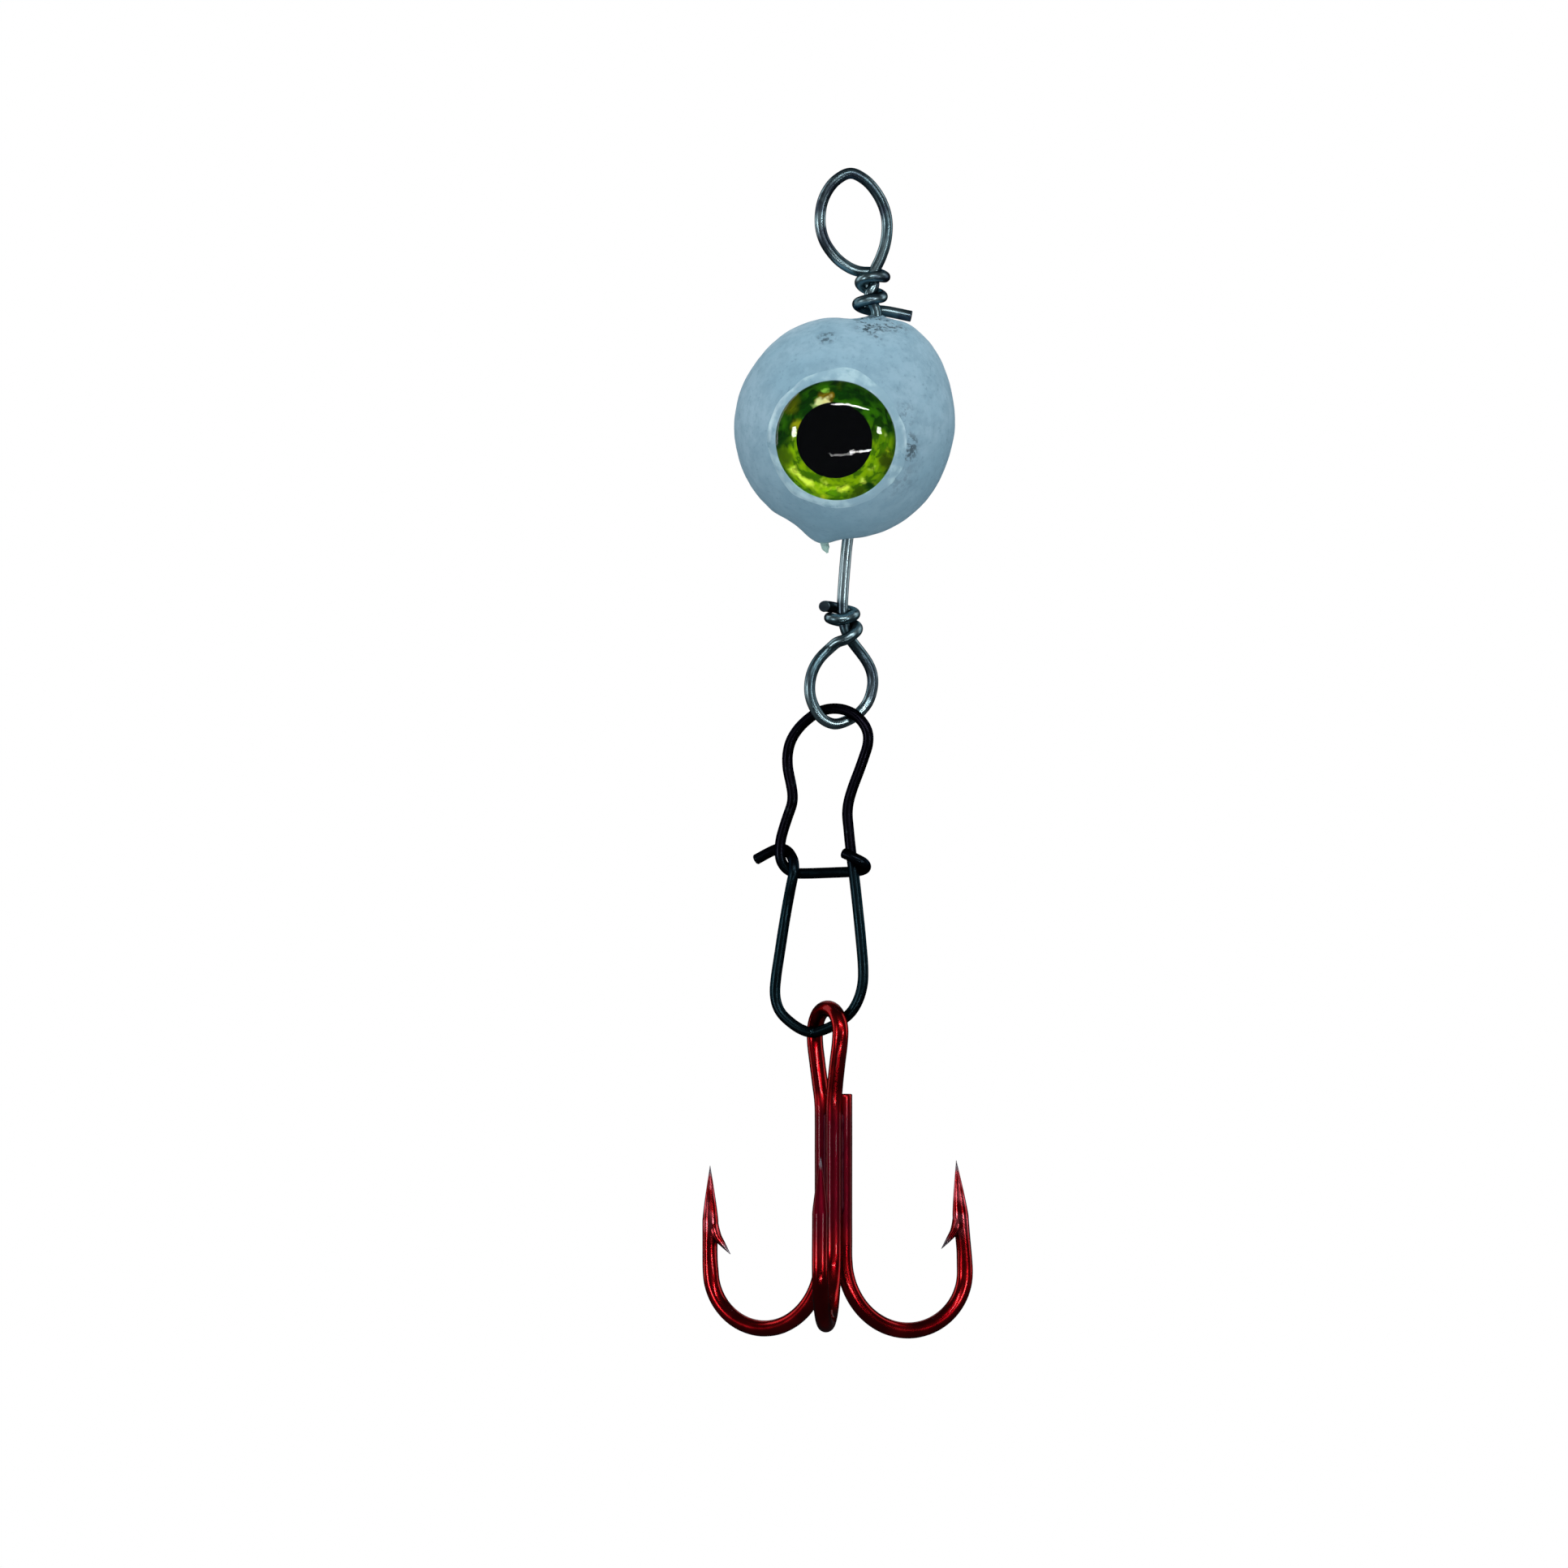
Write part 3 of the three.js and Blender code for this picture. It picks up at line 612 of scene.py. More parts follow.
def glue_material():
    m = Nodes("glue_and_coat_rim")
    cloud = m.noise(1.1, 4, 0.6)
    milky = m.remap(m.noise(0.7, 3), 0.46, 0.62)
    colour = m.blend(cloud, (0.185, 0.32, 0.395), (0.265, 0.415, 0.49))
    colour = m.blend(m.times(milky, 0.6), colour, (0.42, 0.6, 0.64))
    ragged = m.unsettled(1.5, 0.8)
    # Painted highlights on the rim's bead.
    for spot, inner, outer in RIM_PAINTED_HIGHLIGHTS:
        painted_highlight = m.times(m.near(spot, inner, outer, ragged), 0.75)
        colour = m.blend(painted_highlight, colour, (0.46, 0.66, 0.7))
    m.set(Base_Color=colour, Coat_Weight=0.6, Coat_Roughness=0.06)
    m.set(Roughness=m.between(cloud, 0.25, 0.5), Normal=m.bump(cloud, 0.1, 0.5))
    return m.material


def foil_material():
    """Crinkled green film with painted reflection, darker above and lime below, and painted
    highlights on the folds round the pupil.
    """
    m = Nodes("holographic_foil")
    height = m.axis("Z")
    folds = m.noise(0.9, 1.5, 0.5, m.round_eye(0.7, 1.5), distortion=0.5)
    fine = m.noise(1.5, 2, 0.5, m.round_eye(0.8, 1.5), distortion=0.3)
    from_centre = m.from_eye_centre()
    # Painted reflection: the foil deep green above and lime below.
    level = m.maths("ADD", height, m.times(m.noise(0.9, 2), 2.0))
    top = m.remap(level, -16.4, -14.2)
    lime = m.blend(m.remap(fine, 0.38, 0.6), (0.07, 0.21, 0.0004), (0.25, 0.46, 0.001))
    deep = m.blend(m.remap(fine, 0.38, 0.6), (0.003, 0.035, 0.0005), (0.03, 0.15, 0.001))
    colour = m.blend(top, lime, deep)
    # Painted shade: the foil darker round its edge, under the dome's rim.
    ring = m.times(m.remap(from_centre, 3.1, 3.55), m.between(fine, 0.3, 0.8))
    colour = m.blend(ring, colour, (0.03, 0.13, 0.004))
    ragged = m.unsettled(1.3, 1.2)
    # Tints with painted reflection, then painted highlights, patch by patch.
    for spot, inner, outer, tint_and_highlight in FOIL_PATCHES + FOIL_PAINTED_HIGHLIGHTS:
        colour = m.blend(m.near(spot, inner, outer, ragged), colour, tint_and_highlight)
    m.set(Base_Color=colour, Metallic=0.45, Specular_IOR_Level=0.0)
    m.set(Roughness=m.between(fine, 0.22, 0.4), Normal=m.bump(folds, 0.14, 0.6))
    return m.material


def pupil_material():
    m = Nodes("printed_pupil")
    ink = m.noise(12.0, 3)
    m.set(Base_Color=m.blend(ink, (0.0004, 0.0004, 0.0006), (0.0012, 0.0012, 0.0018)))
    m.set(Roughness=m.between(ink, 0.4, 0.55), Specular_IOR_Level=0.0)
    m.set(Normal=m.bump(ink, 0.004, 0.3))
    return m.material


def dome_material():
    m = Nodes("clear_resin_dome")
    swirl = m.noise(0.9, 2)
    m.set(Base_Color=m.blend(swirl, (0.97, 1.0, 0.94), (1.0, 1.0, 0.98)))
    m.set(Roughness=0.015, IOR=1.48, Transmission_Weight=1.0)
    m.set(Normal=m.bump(m.noise(1.6, 2), 0.03, 0.3))
    return m.material


# ---- wire centre lines


def shaft_at(z):
    t = (z - WIRE_TOP[2]) / (WIRE_BOTTOM[2] - WIRE_TOP[2])
    return WIRE_TOP + (WIRE_BOTTOM - WIRE_TOP) * t


def spine_plane(x, z, out=0.0):
    return np.array([x, (x - LINK_X) * LINK_TAN + out, z])


def snap_plane(x, z, out=0.0):
    return np.array([x, (LINK_X - x) * LINK_TAN + out, z])


def spine_points():
    stub = [(3.73, 0.74, -8.51), (2.05, 0.82, -8.18)]
    loop = [
        (0.72, 0.72, -5.78), (0.12, 0.5, -5.62), (-0.68, 0.22, -5.12), (-1.28, 0.08, -4.45),
        (-1.63, 0, -3.85), (-1.85, 0, -3.05), (-1.86, 0, -2.2), (-1.7, 0, -1.4),
        (-1.36, 0, -0.7), (-0.85, 0, -0.12), (0, 0, 0.29), (0.88, 0, -0.12),
        (1.48, 0, -0.75), (1.95, 0, -1.55), (2.22, 0, -2.45), (2.25, 0, -3.3),
        (2.12, 0, -4.15), (1.83, 0, -5.0), (1.5, 0, -5.7), (1.4, 0.01, -6.2),
        (1.45, -0.05, -6.65), (1.18, -0.1, -7.1), (1.2, -0.02, -7.5), (1.48, 0, -7.95),
        (1.6, 0, -8.35),
    ]
    shaft = [WIRE_TOP, shaft_at(-9.8), shaft_at(-21.4), WIRE_BOTTOM, shaft_at(-22.9),
             (-0.44, 0, -25.2), (-0.5, 0, -26.4), (-0.47, 0, -27.0), (-0.37, 0, -27.6),
             (-0.15, 0, -28.2)]
    link = [
        (0.2, -28.72, -0.1), (0.62, -29.25), (1.04, -29.85), (1.3, -30.45), (1.38, -31.05),
        (1.3, -31.65), (1.1, -32.25), (0.7, -32.8), (0.08, -33.3), (-0.98, -33.66),
        (-1.78, -33.3), (-2.25, -32.6), (-2.48, -31.95), (-2.52, -31.3), (-2.42, -30.65),
        (-2.18, -30.05), (-1.8, -29.5), (-1.22, -28.95, -0.12),
    ]
    lead_in = [(-0.82, -0.5, -28.62), (-0.3, -0.7, -28.45), (0.2, -0.64, -28.1),
               (0.42, -0.3, -27.86)]
    tag = [(-1.42, 0.12, -26.41), (-1.56, -0.22, -26.4), (-1.62, -0.62, -26.42)]
    return [*stub, *wrap_points(*TOP_WRAP)[::-1], *loop, *shaft,
            *[spine_plane(*p) for p in link], *lead_in, *wrap_points(*LOWER_WRAP), *tag]


def snap_points():
    frame_part = [
        (-0.42, -41.6, -0.72), (-0.1, -41.74, -0.75), (0.36, -41.97, -0.72),
        (0.8, -42.2, -0.45), (0.95, -42.45, 0.06), (0.74, -42.65, 0.6),
        (0.2, -42.75, 0.75), (-0.8, -42.8, 0.7), (-1.8, -42.84, 0.62),
        (-2.8, -42.87, 0.52), (-3.45, -42.84, 0.42), (-3.95, -42.58, 0.18),
        (-4.28, -42.1, 0.02), (-4.36, -41.55), (-4.3, -40.8), (-4.1, -40.05),
        (-3.82, -39.2), (-3.6, -38.55), (-3.57, -38.0), (-3.68, -37.3), (-3.86, -36.4),
        (-3.88, -35.55), (-3.7, -34.75), (-3.3, -34.05), (-2.7, -33.42), (-1.9, -32.88),
        (-0.95, -32.7), (0.0, -32.92), (0.72, -33.52), (1.06, -34.2), (1.06, -34.9),
        (0.82, -35.7), (0.5, -36.6), (0.16, -37.5), (-0.12, -38.45), (-0.2, -39.2),
        (-0.13, -40.0), (-0.03, -41.05), (0.09, -42.05), (0.24, -43.2), (0.44, -45.0),
        (0.64, -47.0), (0.77, -48.7), (0.74, -49.65), (0.5, -50.58), (0.02, -51.42),
        (-0.8, -52.08), (-1.6, -52.48), (-2.35, -52.68), (-3.05, -52.48), (-3.7, -52.05),
        (-4.3, -51.46), (-4.56, -50.9),
    ]
    latch_part = [
        SPRING_TOP, (-4.58, -49.2), (-4.4, -48.0), (-4.1, -46.05),
        (-3.85, -44.6, -0.14), (-3.64, -43.5, -0.36), (-3.49, -42.75, -0.43),
        (-3.5, -42.2, -0.22), (-3.67, -41.76, 0.34), (-3.95, -41.44, 0.76),
        (-4.36, -41.32, 0.82), (-4.9, -41.52, 0.8), (-5.82, -42.02, 0.78),
    ]
    return [snap_plane(*p) for p in frame_part + latch_part]


def hook_point(hook, reach, z):
    yaw = math.radians(hook["yaw"])
    return np.array([TREBLE_AXIS[0] + hook["x"] + reach * math.cos(yaw),
                     TREBLE_AXIS[1] + hook["y"] + reach * math.sin(yaw), z])


def spear_point(hook, drop, inward=0.0):
    """A point of the spear, drop below the hook's tip; inward is towards the shank."""
    length = hook["point"] - (BEND_BOTTOM + hook["lift"] + BEND_OUT_RISE)
    return hook_point(hook, hook["gape"] - hook["lean"] * (1 - drop / length) - inward,
                      hook["point"] - drop)


def hook_points(hook, shank):
    """Down the shank from the given heights, round the bend and up to the tip."""
    points = [hook_point(hook, 0, z) for z in shank]
    bottom = BEND_BOTTOM + hook["lift"]
    for angle in np.linspace(0, np.pi / 2, 8):
        points.append(hook_point(hook, BEND_IN[0] * (1 - math.cos(angle)),
                                 bottom + BEND_IN[1] * (1 - math.sin(angle))))
    for angle in np.linspace(0, np.pi / 2, 8)[1:]:
        reach = BEND_IN[0] + (hook["gape"] - BEND_IN[0]) * math.sin(angle)
        points.append(hook_point(hook, reach, bottom + BEND_OUT_RISE * (1 - math.cos(angle))))
    return points + [spear_point(hook, 4.6), spear_point(hook, TAPER), spear_point(hook, 0)]


# ---- wires


def wire_path(points, step):
    return eased(evenly(catmull_rom(points), step), 3)


def hand_bent(seed):
    """A drawn wire's slight flats and swellings."""
    def radii(s, length, centres, directions):
        swell = 1 + 0.012 * wobble(centres, 1.3, seed)
        return np.repeat(swell[:, None], directions.shape[1], axis=1)
    return radii


def build_spine(material):
    path = wire_path(spine_points(), 0.11)
    ob = sweep("through_wire", path, SPINE_D, 22, hand_bent(3.1))
    finish_piece(ob, material, "head", "stainless", "spine_wire")


def build_snap(material):
    path = wire_path(snap_points(), 0.13)
    lowest = int(np.argmin(path[:, 2]))
    body = sweep("snap_frame", path[:lowest + 1], SNAP_D, 22, hand_bent(5.2),
                 chamfer=(0.06, None))
    finish_piece(body, material, "snap", "black_nickel", "snap_wire")
    arm = sweep("snap_latch_spring", path[lowest:], SNAP_D, 22, hand_bent(5.2),
                chamfer=(None, 0.06))
    arm.data.materials.append(material)
    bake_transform(arm)
    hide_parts("snap_latch_arm")


# ---- hooks


def taper(drop):
    """Share of the full radius at a drop below the tip."""
    x = np.clip(drop / TAPER, 0, 1)
    return 0.03 + 0.97 * (x * 1.12 - 0.12 * x**4)


def inward_of(hook):
    yaw = math.radians(hook["yaw"])
    return np.array([-math.cos(yaw), -math.sin(yaw), 0.0])


def spear_shape(drop, directions, hook):
    """Ground point and the notch that the barb was raised from."""
    facing = np.clip(directions @ inward_of(hook), 0, 1)
    notch = ramp(drop, 4.1, 4.9) * (1 - ramp(drop, 5.2, 6.8))
    return taper(drop)[:, None] * (1 - 0.2 * notch[:, None] * facing**2)


def barb(hook):
    """The sliver cut up from the spear's inner side, curving away from it."""
    r = HOOK_D / 2
    points = [spear_point(hook, 2.8, r * 0.15), spear_point(hook, 3.6, r * 0.45),
              spear_point(hook, 4.3, r * 0.9), spear_point(hook, 4.85, r + 0.42),
              spear_point(hook, 5.46, r + 1.0)]
    path = evenly(catmull_rom(points), 0.06)

    def radii(s, length, centres, directions):
        t = s / length
        share = 1 - 0.96 * (np.maximum(t - 0.45, 0) / 0.55) ** 1.25
        across = np.abs(directions @ np.cross(inward_of(hook), (0, 0, 1)))
        return share[:, None] * (0.62 + 0.38 * across)

    def wear(s, length):
        return ramp(s, 0.45 * length, length)

    return sweep("barb", path, 0.74, 14, radii, wear, (None, None))


def build_hook_wire(name, ends, points, seed, material):
    """A wire with a hook's spear at each end that ends names, and a cut end at None."""
    def spears(s, length):
        return [(HOOKS[end], drop) for end, drop in zip(ends, (s, length - s)) if end]

    def radii(s, length, centres, directions):
        share = (1 + 0.01 * wobble(centres, 2.0, seed))[:, None]
        for hook, drop in spears(s, length):
            share = share * spear_shape(drop, directions, hook)
        return share

    def wear(s, length):
        nearest = np.min([drop for _, drop in spears(s, length)], axis=0)
        return 1 - ramp(nearest, 0.1, 1.3)

    chamfer = [None if end else 0.05 for end in ends]
    wire = sweep("hook_wire", wire_path(points, 0.15), HOOK_D, 26, radii, wear, chamfer)
    ob = joined(name, [wire, *(barb(HOOKS[end]) for end in ends if end)])
    finish_piece(ob, material, "treble", "hook_lacquer", f"treble_{name}")


def build_hooks(material):
    left, front, right = (HOOKS[name] for name in ("left", "front", "right"))
    double = [*hook_points(left, [-58.2, *SHANK])[::-1], *TREBLE_EYE,
              *hook_points(front, [-58.2, *SHANK])]
    build_hook_wire("double_hook", ("left", "front"), double, 7.7, material)
    single = hook_points(right, [SINGLE_TOP, -58.5, *SHANK])
    build_hook_wire("single_hook", (None, "right"), single, 9.1, material)


def build_braze(material):
    """Fillets of braze metal that fill the grooves between the three shanks."""
    seams = {"left": ("left", "front", 0.4), "right": ("front", "right", 0.4),
             "rear": ("right", "left", 0.3)}
    for name, (one, other, depth) in seams.items():
        a = hook_point(HOOKS[one], 0, 0)[:2]
        b = hook_point(HOOKS[other], 0, 0)[:2]
        verts, faces = fillet(a, b, depth, seed=len(name))
        ob = mesh_object(f"braze_fillet_{name}", verts, faces)
        finish_piece(ob, material, "treble", "braze", f"braze_{name}")


def fillet(a, b, depth, seed, top=-57.1, bottom=-64.8, across=12, step=0.14):
    """A hollow-faced strip between two upright wires at a and b, thin at its ends."""
    middle, along = (a + b) / 2, unit(b - a)
    outward = np.array([along[1], -along[0]])
    if outward @ (middle - TREBLE_AXIS) < 0:
        outward = -outward
    r = HOOK_D / 2
    half = norm(b - a) / 2
    heights = np.linspace(bottom, top, int((top - bottom) / step))
    verts, faces = [], []
    sunk = 0.02
    for z in heights:
        fade = ramp(z, bottom, bottom + 1.3) * (1 - ramp(z, top - 0.8, top))
        lump = 1 + 0.1 * noise.noise(Vector((seed, 0, z / 0.9)))
        reach = r * (0.18 + 0.6 * fade * lump)
        ring = []
        for k in range(across + 1):
            t = -1 + 2 * k / across
            hollow = reach - depth * 0.45 * (1 - t * t) * 0.5
            ring.append(middle + along * (t * (half - sunk)) + outward * hollow)
        ring += [b - outward * sunk, a - outward * sunk]
        verts += [(x, y, z) for x, y in ring]
    size = across + 3
    for i in range(len(heights) - 1):
        for j in range(size):
            k = (j + 1) % size
            faces.append((i * size + j, i * size + k, (i + 1) * size + k, (i + 1) * size + j))
    last = (len(heights) - 1) * size
    faces += [tuple(range(size))[::-1], tuple(range(last, last + size))]
    return verts, faces


# ---- head

# Build-ups and hollows of the dipped coat round the ball's outline: bearing in
# degrees anticlockwise from +X seen from the front, spread on its lower and upper
# side, spread in depth, and height.
LUMPS = [
    (56, 20, 13, 30, 0.72),
    (117, 24, 18, 34, 0.15),
    (172, 22, 22, 40, 0.07),
    (240, 6, 6, 20, -0.16),
    (258, 7, 5, 8, 0.42),
    (341, 18, 15, 34, -0.21),
    (303, 14, 14, 30, -0.09),
    (88, 5, 5, 12, -0.14),
]

# Small pits: place and size.
PITS = [
    ((0.55, -1.15, -9.0), 0.26), ((1.15, -1.35, -9.1), 0.22), ((1.62, -1.05, -9.0), 0.3),
    ((0.95, -1.95, -9.4), 0.3), ((1.38, -2.25, -9.7), 0.22), ((2.05, -1.45, -9.2), 0.24),
    ((0.15, -1.25, -8.9), 0.22), ((2.75, -1.6, -9.2), 0.26), ((-1.75, -3.6, -10.1), 0.34),
    ((3.85, -4.75, -16.2), 0.24), ((4.05, -4.7, -16.8), 0.28), ((3.7, -5.0, -17.3), 0.2),
    ((4.4, -4.4, -13.7), 0.18), ((3.1, -5.8, -19.4), 0.22), ((1.9, 1.6, -9.3), 0.3),
    ((-2.2, 5.2, -11.6), 0.28), ((4.6, 4.2, -17.0), 0.25),
]


def eye_axes(side):
    """An eye's outward direction, its right and its up."""
    out = unit(EYE_TILT[side])
    right = unit(np.array([1.0, 0, 0]) - out * out[0])
    up = np.cross(out, right)
    return out, right, up * np.sign(up[2])


def coat_radius(directions):
    """The coat's distance from the ball's centre in each direction."""
    d = np.asarray(directions)
    bearing = np.degrees(np.arctan2(d[:, 2], d[:, 0]))
    depth = np.degrees(np.arcsin(np.clip(d[:, 1], -1, 1)))
    radius = np.full(len(d), BALL_R)
    for at, below, above, deep, height in LUMPS:
        off = (bearing - at + 180) % 360 - 180
        spread = np.where(off < 0, below, above)
        radius += height * np.exp(-0.5 * ((off / spread) ** 2 + (depth / deep) ** 2))
    places = d * BALL_R
    radius += 0.05 * wobble(places, 2.6, 1.3) + 0.022 * wobble(places, 0.9, 4.4, 2)
    radius += collar(places) - pitting(places)
    return radius


def collar(places):
    """The rough rise of coat round the wire where it leaves the ball."""
    exit_point = unit(WIRE_TOP - BALL_CENTRE) * BALL_R
    away = norm(places - exit_point, axis=1)
    rough = 1 + 0.9 * wobble(places, 0.42, 8.0, 2)
    return 0.2 * np.exp(-((away / 0.62) ** 2)) * rough


def pitting(places):
    depth = np.zeros(len(places))
    for place, size in PITS:
        at = unit(np.array(place) - BALL_CENTRE) * BALL_R
        away = norm(places - at, axis=1) / size
        depth += 0.42 * size * np.exp(-(away**2)) - 0.1 * size * np.exp(-((away - 1.5) ** 2) * 4)
    return depth


def build_coat(material):
    bm = bmesh.new()
    bmesh.ops.create_icosphere(bm, subdivisions=7, radius=1)
    directions = unit(np.array([v.co for v in bm.verts]))
    radius = coat_radius(directions)
    for side in EYE_TILT:
        out, _, _ = eye_axes(side)
        cosine = directions @ out
        across = radius * np.sqrt(np.clip(1 - cosine**2, 0, 1))
        floor = SEAT_FLOOR / np.clip(cosine, 0.2, 1)
        inside = (cosine > 0) & (across < SEAT_R)
        radius = np.where(inside, np.minimum(radius, floor), radius)
    verts = BALL_CENTRE + directions * radius[:, None]
    faces = [tuple(v.index for v in f.verts) for f in bm.faces]
    bm.free()
    skin = mesh_object("coat_skin", verts, faces)
    ob = joined("dipped_coat", [skin, drip_nib()])
    finish_piece(ob, material, "head", "coat", "head_coat")


def drip_nib():
    """The hardened drip below the ball."""
    points = [(-1.72, 0.0, -21.3), (-1.7, -0.02, -21.95), (-1.62, -0.04, -22.45),
              (-1.52, -0.06, -22.85), (-1.42, -0.06, -23.12)]
    path = evenly(catmull_rom(points), 0.05)

    def radii(s, length, centres, directions):
        t = s / length
        profile = 1.0 - 0.62 * ramp(t, 0.0, 0.62) - 0.26 * ramp(t, 0.8, 1.0)
        lumpy = 1 + 0.16 * wobble(centres, 0.35, 2.2)
        return (profile * lumpy)[:, None] * np.ones(directions.shape[1])

    return sweep("drip", path, 1.3, 20, radii, None, (None, None))


# ---- eyes

# Where the rim is built up: bearing in degrees, spread in radians, height.
RIM_PATCHES = [(88, 0.34, 0.2), (335, 0.26, 0.16), (232, 0.3, 0.12)]


def ring_faces(rings, segments):
    """Quads from each ring of vertices to the next, and from the last to the first."""
    faces = []
    for i in range(rings):
        a, b = i * segments, ((i + 1) % rings) * segments
        for j in range(segments):
            k = (j + 1) % segments
            faces.append((a + j, a + k, b + k, b + j))
    return faces


def disc_solid(name, outer, low, top_of, steps, segments, side, shift=0.0):
    """A closed disc standing on an eye's axis, its top face given by top_of(x, y, r)."""
    out, right, up = eye_axes(side)
    angle = 2 * np.pi * np.arange(segments) / segments
    circle = np.column_stack([np.cos(angle), np.sin(angle)])
    local = [np.column_stack([np.zeros((1, 2)), top_of(np.zeros(1), np.zeros(1), 0.0)])]
    for r in np.linspace(0, outer, steps + 1)[1:]:
        ring = circle * r
        local.append(np.column_stack([ring, top_of(ring[:, 0], ring[:, 1], r)]))
    local += [np.column_stack([ring, np.full(segments, low)]), [[0.0, 0.0, low]]]
    verts = np.concatenate(local)
    verts[:, 0] += shift
    faces = []
    for j in range(segments):
        k = (j + 1) % segments
        faces.append((0, 1 + j, 1 + k))
        for i in range(steps):
            a, b = 1 + i * segments, 1 + (i + 1) * segments
            faces.append((a + j, b + j, b + k, a + k))
        base = 1 + steps * segments
        faces.append((base + j, len(verts) - 1, base + k))
    placed = BALL_CENTRE + verts[:, :1] * right + verts[:, 1:2] * up + verts[:, 2:] * out
    if np.cross(right, up) @ out < 0:
        faces = [f[::-1] for f in faces]
    return mesh_object(name, placed, faces)


def build_foil(side, material):
    def crinkled(x, y, r):
        places = np.column_stack([x, y, np.full(len(x), 3.0)])
        folds = wobble(places, 0.75, 11.0 if side == "front" else 17.0, 3)
        rings = np.sin(9.0 * np.hypot(x, y) + 3 * folds)
        flat = ramp(r, 1.9, 2.5)
        return FOIL_TOP + flat * (0.03 * folds + 0.006 * rings)

    ob = disc_solid(f"{side}_eye_foil", FOIL_R, FOIL_LOW, crinkled, 48, 128, side)
    finish_piece(ob, material, "head", "eye_foil", f"{side}_eye_foil_iris")


def build_pupil(side, material):
    def domed(x, y, r):
        return np.full(len(x), FOIL_TOP + 0.07 - 0.03 * (r / PUPIL_R) ** 8)

    ob = disc_solid(f"{side}_eye_ink", PUPIL_R, FOIL_TOP - 0.01, domed, 10, 96, side, PUPIL_SHIFT)
    finish_piece(ob, material, "head", "eye_pupil", f"{side}_eye_pupil")


def build_dome(side, material):
    """Clear resin, standing proud with a rounded edge; it wets the foil below."""
    rise = DOME_TOP - DOME_EDGE

    def crown(x, y, r):
        share = min(r / DOME_R, 1.0)
        z = DOME_EDGE + rise * max(1 - share**2.25, 0) ** 0.8
        places = np.column_stack([x, y, np.ones(len(x))])
        return z + 0.006 * wobble(places, 1.1, 21.0)

    ob = disc_solid(f"{side}_eye_resin", DOME_R, FOIL_TOP - 0.035, crown, 44, 128, side)
    ob.visible_shadow = False
    finish_piece(ob, material, "head", "eye_dome", f"{side}_eye_dome")


def build_rim(side, material):
    """The uneven bead of glue and coat that was squeezed out round the eye."""
    out, right, up = eye_axes(side)
    segments, skin_steps = 180, 12
    angle = 2 * np.pi * np.arange(segments) / segments
    round_it = np.column_stack([np.cos(angle), np.sin(angle), np.zeros(segments)])
    uneven = wobble(round_it * 2.2, 1.0, 5.0, 2)
    patch = sum(height * np.exp(-((angle - math.radians(at)) / spread) ** 2)
                for at, spread, height in RIM_PATCHES)
    edge = RIM_R + 0.16 * uneven + patch
    bead = 0.1 + 0.05 * uneven + 0.5 * patch

    def surface(across, proud):
        """Points across from the eye's axis, proud of the coat there."""
        flat = right * np.cos(angle)[:, None] + up * np.sin(angle)[:, None]
        d = unit(flat * across[:, None] + out * np.sqrt(BALL_R**2 - across**2)[:, None])
        radius = coat_radius(d) + proud
        along = np.sqrt(np.clip(radius**2 - across**2, 0, None))
        return BALL_CENTRE + flat * across[:, None] + out * along[:, None]

    inner = np.full(segments, DOME_R - 0.03)
    rings = [surface(inner, -0.3)]
    for k in range(skin_steps + 1):
        t = k / skin_steps
        across = inner + (edge - inner) * t
        swell = bead * math.sin(math.pi * min(1.0, 0.3 + 0.7 * t)) ** 0.8
        rings.append(surface(across, swell * (1 - t**6) - 0.02 * t))
    rings.append(surface(edge * 0.5 + inner * 0.5, -0.3))
    verts = np.concatenate(rings)
    faces = ring_faces(len(rings), segments)
    if np.cross(right, up) @ out > 0:
        faces = [f[::-1] for f in faces]
    ob = mesh_object(f"{side}_eye_bead", verts, faces)
    finish_piece(ob, material, "head", "glue", f"{side}_eye_glue_rim")


# ---- stage

LIT_POINT = Vector((0, 0, -0.03))
LIGHT_DISTANCE = 0.6
FLOOR_R, FLOOR_Z = 0.7, -0.15


def area_light(name, bearing, elevation, width, height, radiance, colour=(1, 1, 1), tilt=0):
    """A soft panel facing LIT_POINT: bearing 0 is the front and 90 the right."""
    data = bpy.data.lights.new(name, "AREA")
    data.shape = "RECTANGLE"
    data.size, data.size_y = width, height
    data.energy = radiance * math.pi * width * height
    data.color = colour
    b, e = math.radians(bearing), math.radians(elevation)
    back = Vector((math.sin(b) * math.cos(e), -math.cos(b) * math.cos(e), math.sin(e)))
    ob = in_scene(name, data)
    ob.location = LIT_POINT + back * LIGHT_DISTANCE
    ob.rotation_mode = "QUATERNION"
    roll = Quaternion((0, 0, 1), math.radians(tilt))
    ob.rotation_quaternion = back.to_track_quat("Z", "Y") @ roll
    return ob


def build_lights():
    overhead = area_light("overhead_panel", 0, 78, 0.7, 0.5, 2.6)
    overhead.visible_glossy = False
    area_light("left_panel", -106, 18, 0.24, 0.6, 1.7, (0.96, 0.99, 1.0))
    area_light("right_panel", 104, 20, 0.24, 0.6, 1.7, (0.96, 0.99, 1.0))
    area_light("rear_panel", 180, 30, 0.5, 0.4, 1.0)
    area_light("left_window", -56, -2, 0.07, 0.095, 22.0)
    area_light("right_window", 38, 0, 0.07, 0.085, 22.0)
    area_light("lower_strip", 15, -22, 0.25, 0.02, 26.0, tilt=5)
    area_light("lower_strip_left", -8, -24, 0.18, 0.02, 5.0, tilt=3)
    area_light("upper_strip", 7, 25, 0.44, 0.022, 34.0, tilt=-6)


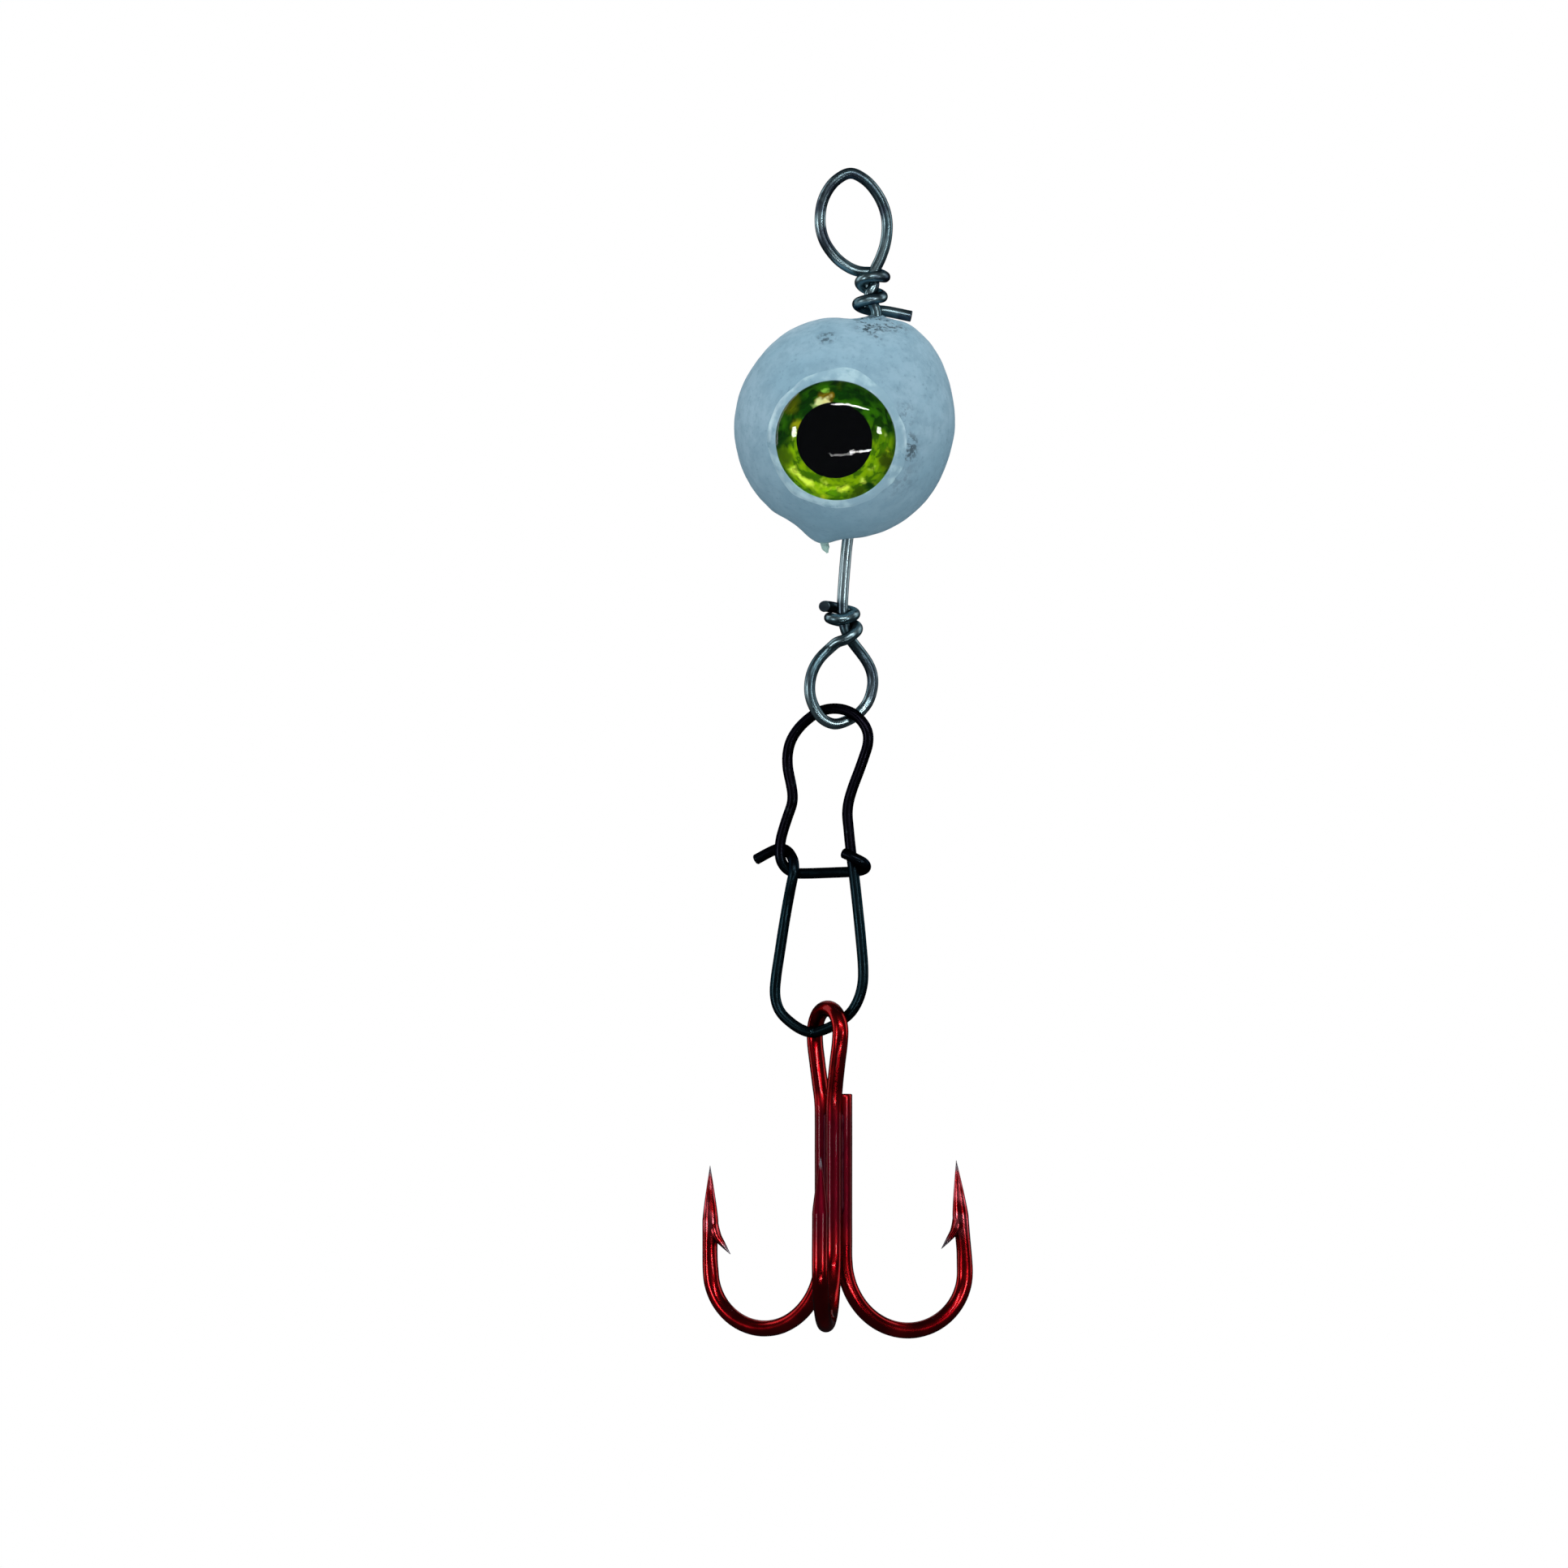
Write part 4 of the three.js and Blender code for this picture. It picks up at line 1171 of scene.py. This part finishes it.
def build_world():
    """White to the eye, a soft grey as light, and dim in reflections."""
    world = bpy.data.worlds.new("studio")
    bpy.context.scene.world = world
    world.use_nodes = True
    tree = world.node_tree
    path = tree.nodes.new("ShaderNodeLightPath")

    def background(colour, strength):
        node = tree.nodes.new("ShaderNodeBackground")
        node.inputs["Color"].default_value = (*colour, 1)
        node.inputs["Strength"].default_value = strength
        return node.outputs[0]

    def choose(share, first, second):
        node = tree.nodes.new("ShaderNodeMixShader")
        for socket, source in zip(node.inputs, (share, first, second)):
            tree.links.new(source, socket)
        return node.outputs[0]

    soft = background((0.8, 0.9, 1.0), 0.36)
    dim = background((0.8, 0.92, 1.0), 0.065)
    white = background((1, 1, 1), 1.0)
    light = choose(path.outputs["Is Glossy Ray"], soft, dim)
    seen = choose(path.outputs["Is Camera Ray"], light, white)
    tree.links.new(seen, tree.nodes["World Output"].inputs["Surface"])


def build_floor():
    m = Nodes("pale_floor")
    grain = m.noise(0.02, 3)
    m.set(Base_Color=m.blend(grain, (0.84, 0.85, 0.86), (0.9, 0.91, 0.92)), Roughness=0.8)
    bm = bmesh.new()
    bmesh.ops.create_circle(bm, cap_ends=True, radius=FLOOR_R, segments=96)
    me = bpy.data.meshes.new("floor")
    bm.to_mesh(me)
    bm.free()
    me.materials.append(m.material)
    floor = in_scene("floor", me)
    floor.location = (0, 0, FLOOR_Z)
    floor.visible_glossy = False


def build_camera():
    """A long lens straight in front, framing the whole lure."""
    view_width, distance = 0.0966, 0.8
    data = bpy.data.cameras.new("camera")
    data.sensor_width = 36.0
    data.lens = data.sensor_width * distance / view_width
    data.clip_start, data.clip_end = 0.05, 10
    ob = in_scene("camera", data)
    ob.location = (-0.0041, -distance, -0.03735)
    ob.rotation_euler = (math.pi / 2, 0, 0)
    bpy.context.scene.camera = ob


# ---- assembly


def repaint(node, material):
    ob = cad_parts[node]
    ob.data.materials.clear()
    ob.data.materials.append(material)


def build_object():
    build_spine(stainless_material())
    build_coat(coat_material())
    repaint("lead_ball", lead_material())
    adhesive, foil, ink = adhesive_material(), foil_material(), pupil_material()
    dome, glue = dome_material(), glue_material()
    for side in EYE_TILT:
        repaint(f"{side}_eye_adhesive", adhesive)
        build_foil(side, foil)
        build_pupil(side, ink)
        build_dome(side, dome)
        build_rim(side, glue)
    build_snap(nickel_material())
    build_hooks(hook_material())
    build_braze(braze_material())


bpy.context.scene.view_settings.view_transform = "Standard"
build_camera()
build_object()
build_floor()
build_lights()
build_world()
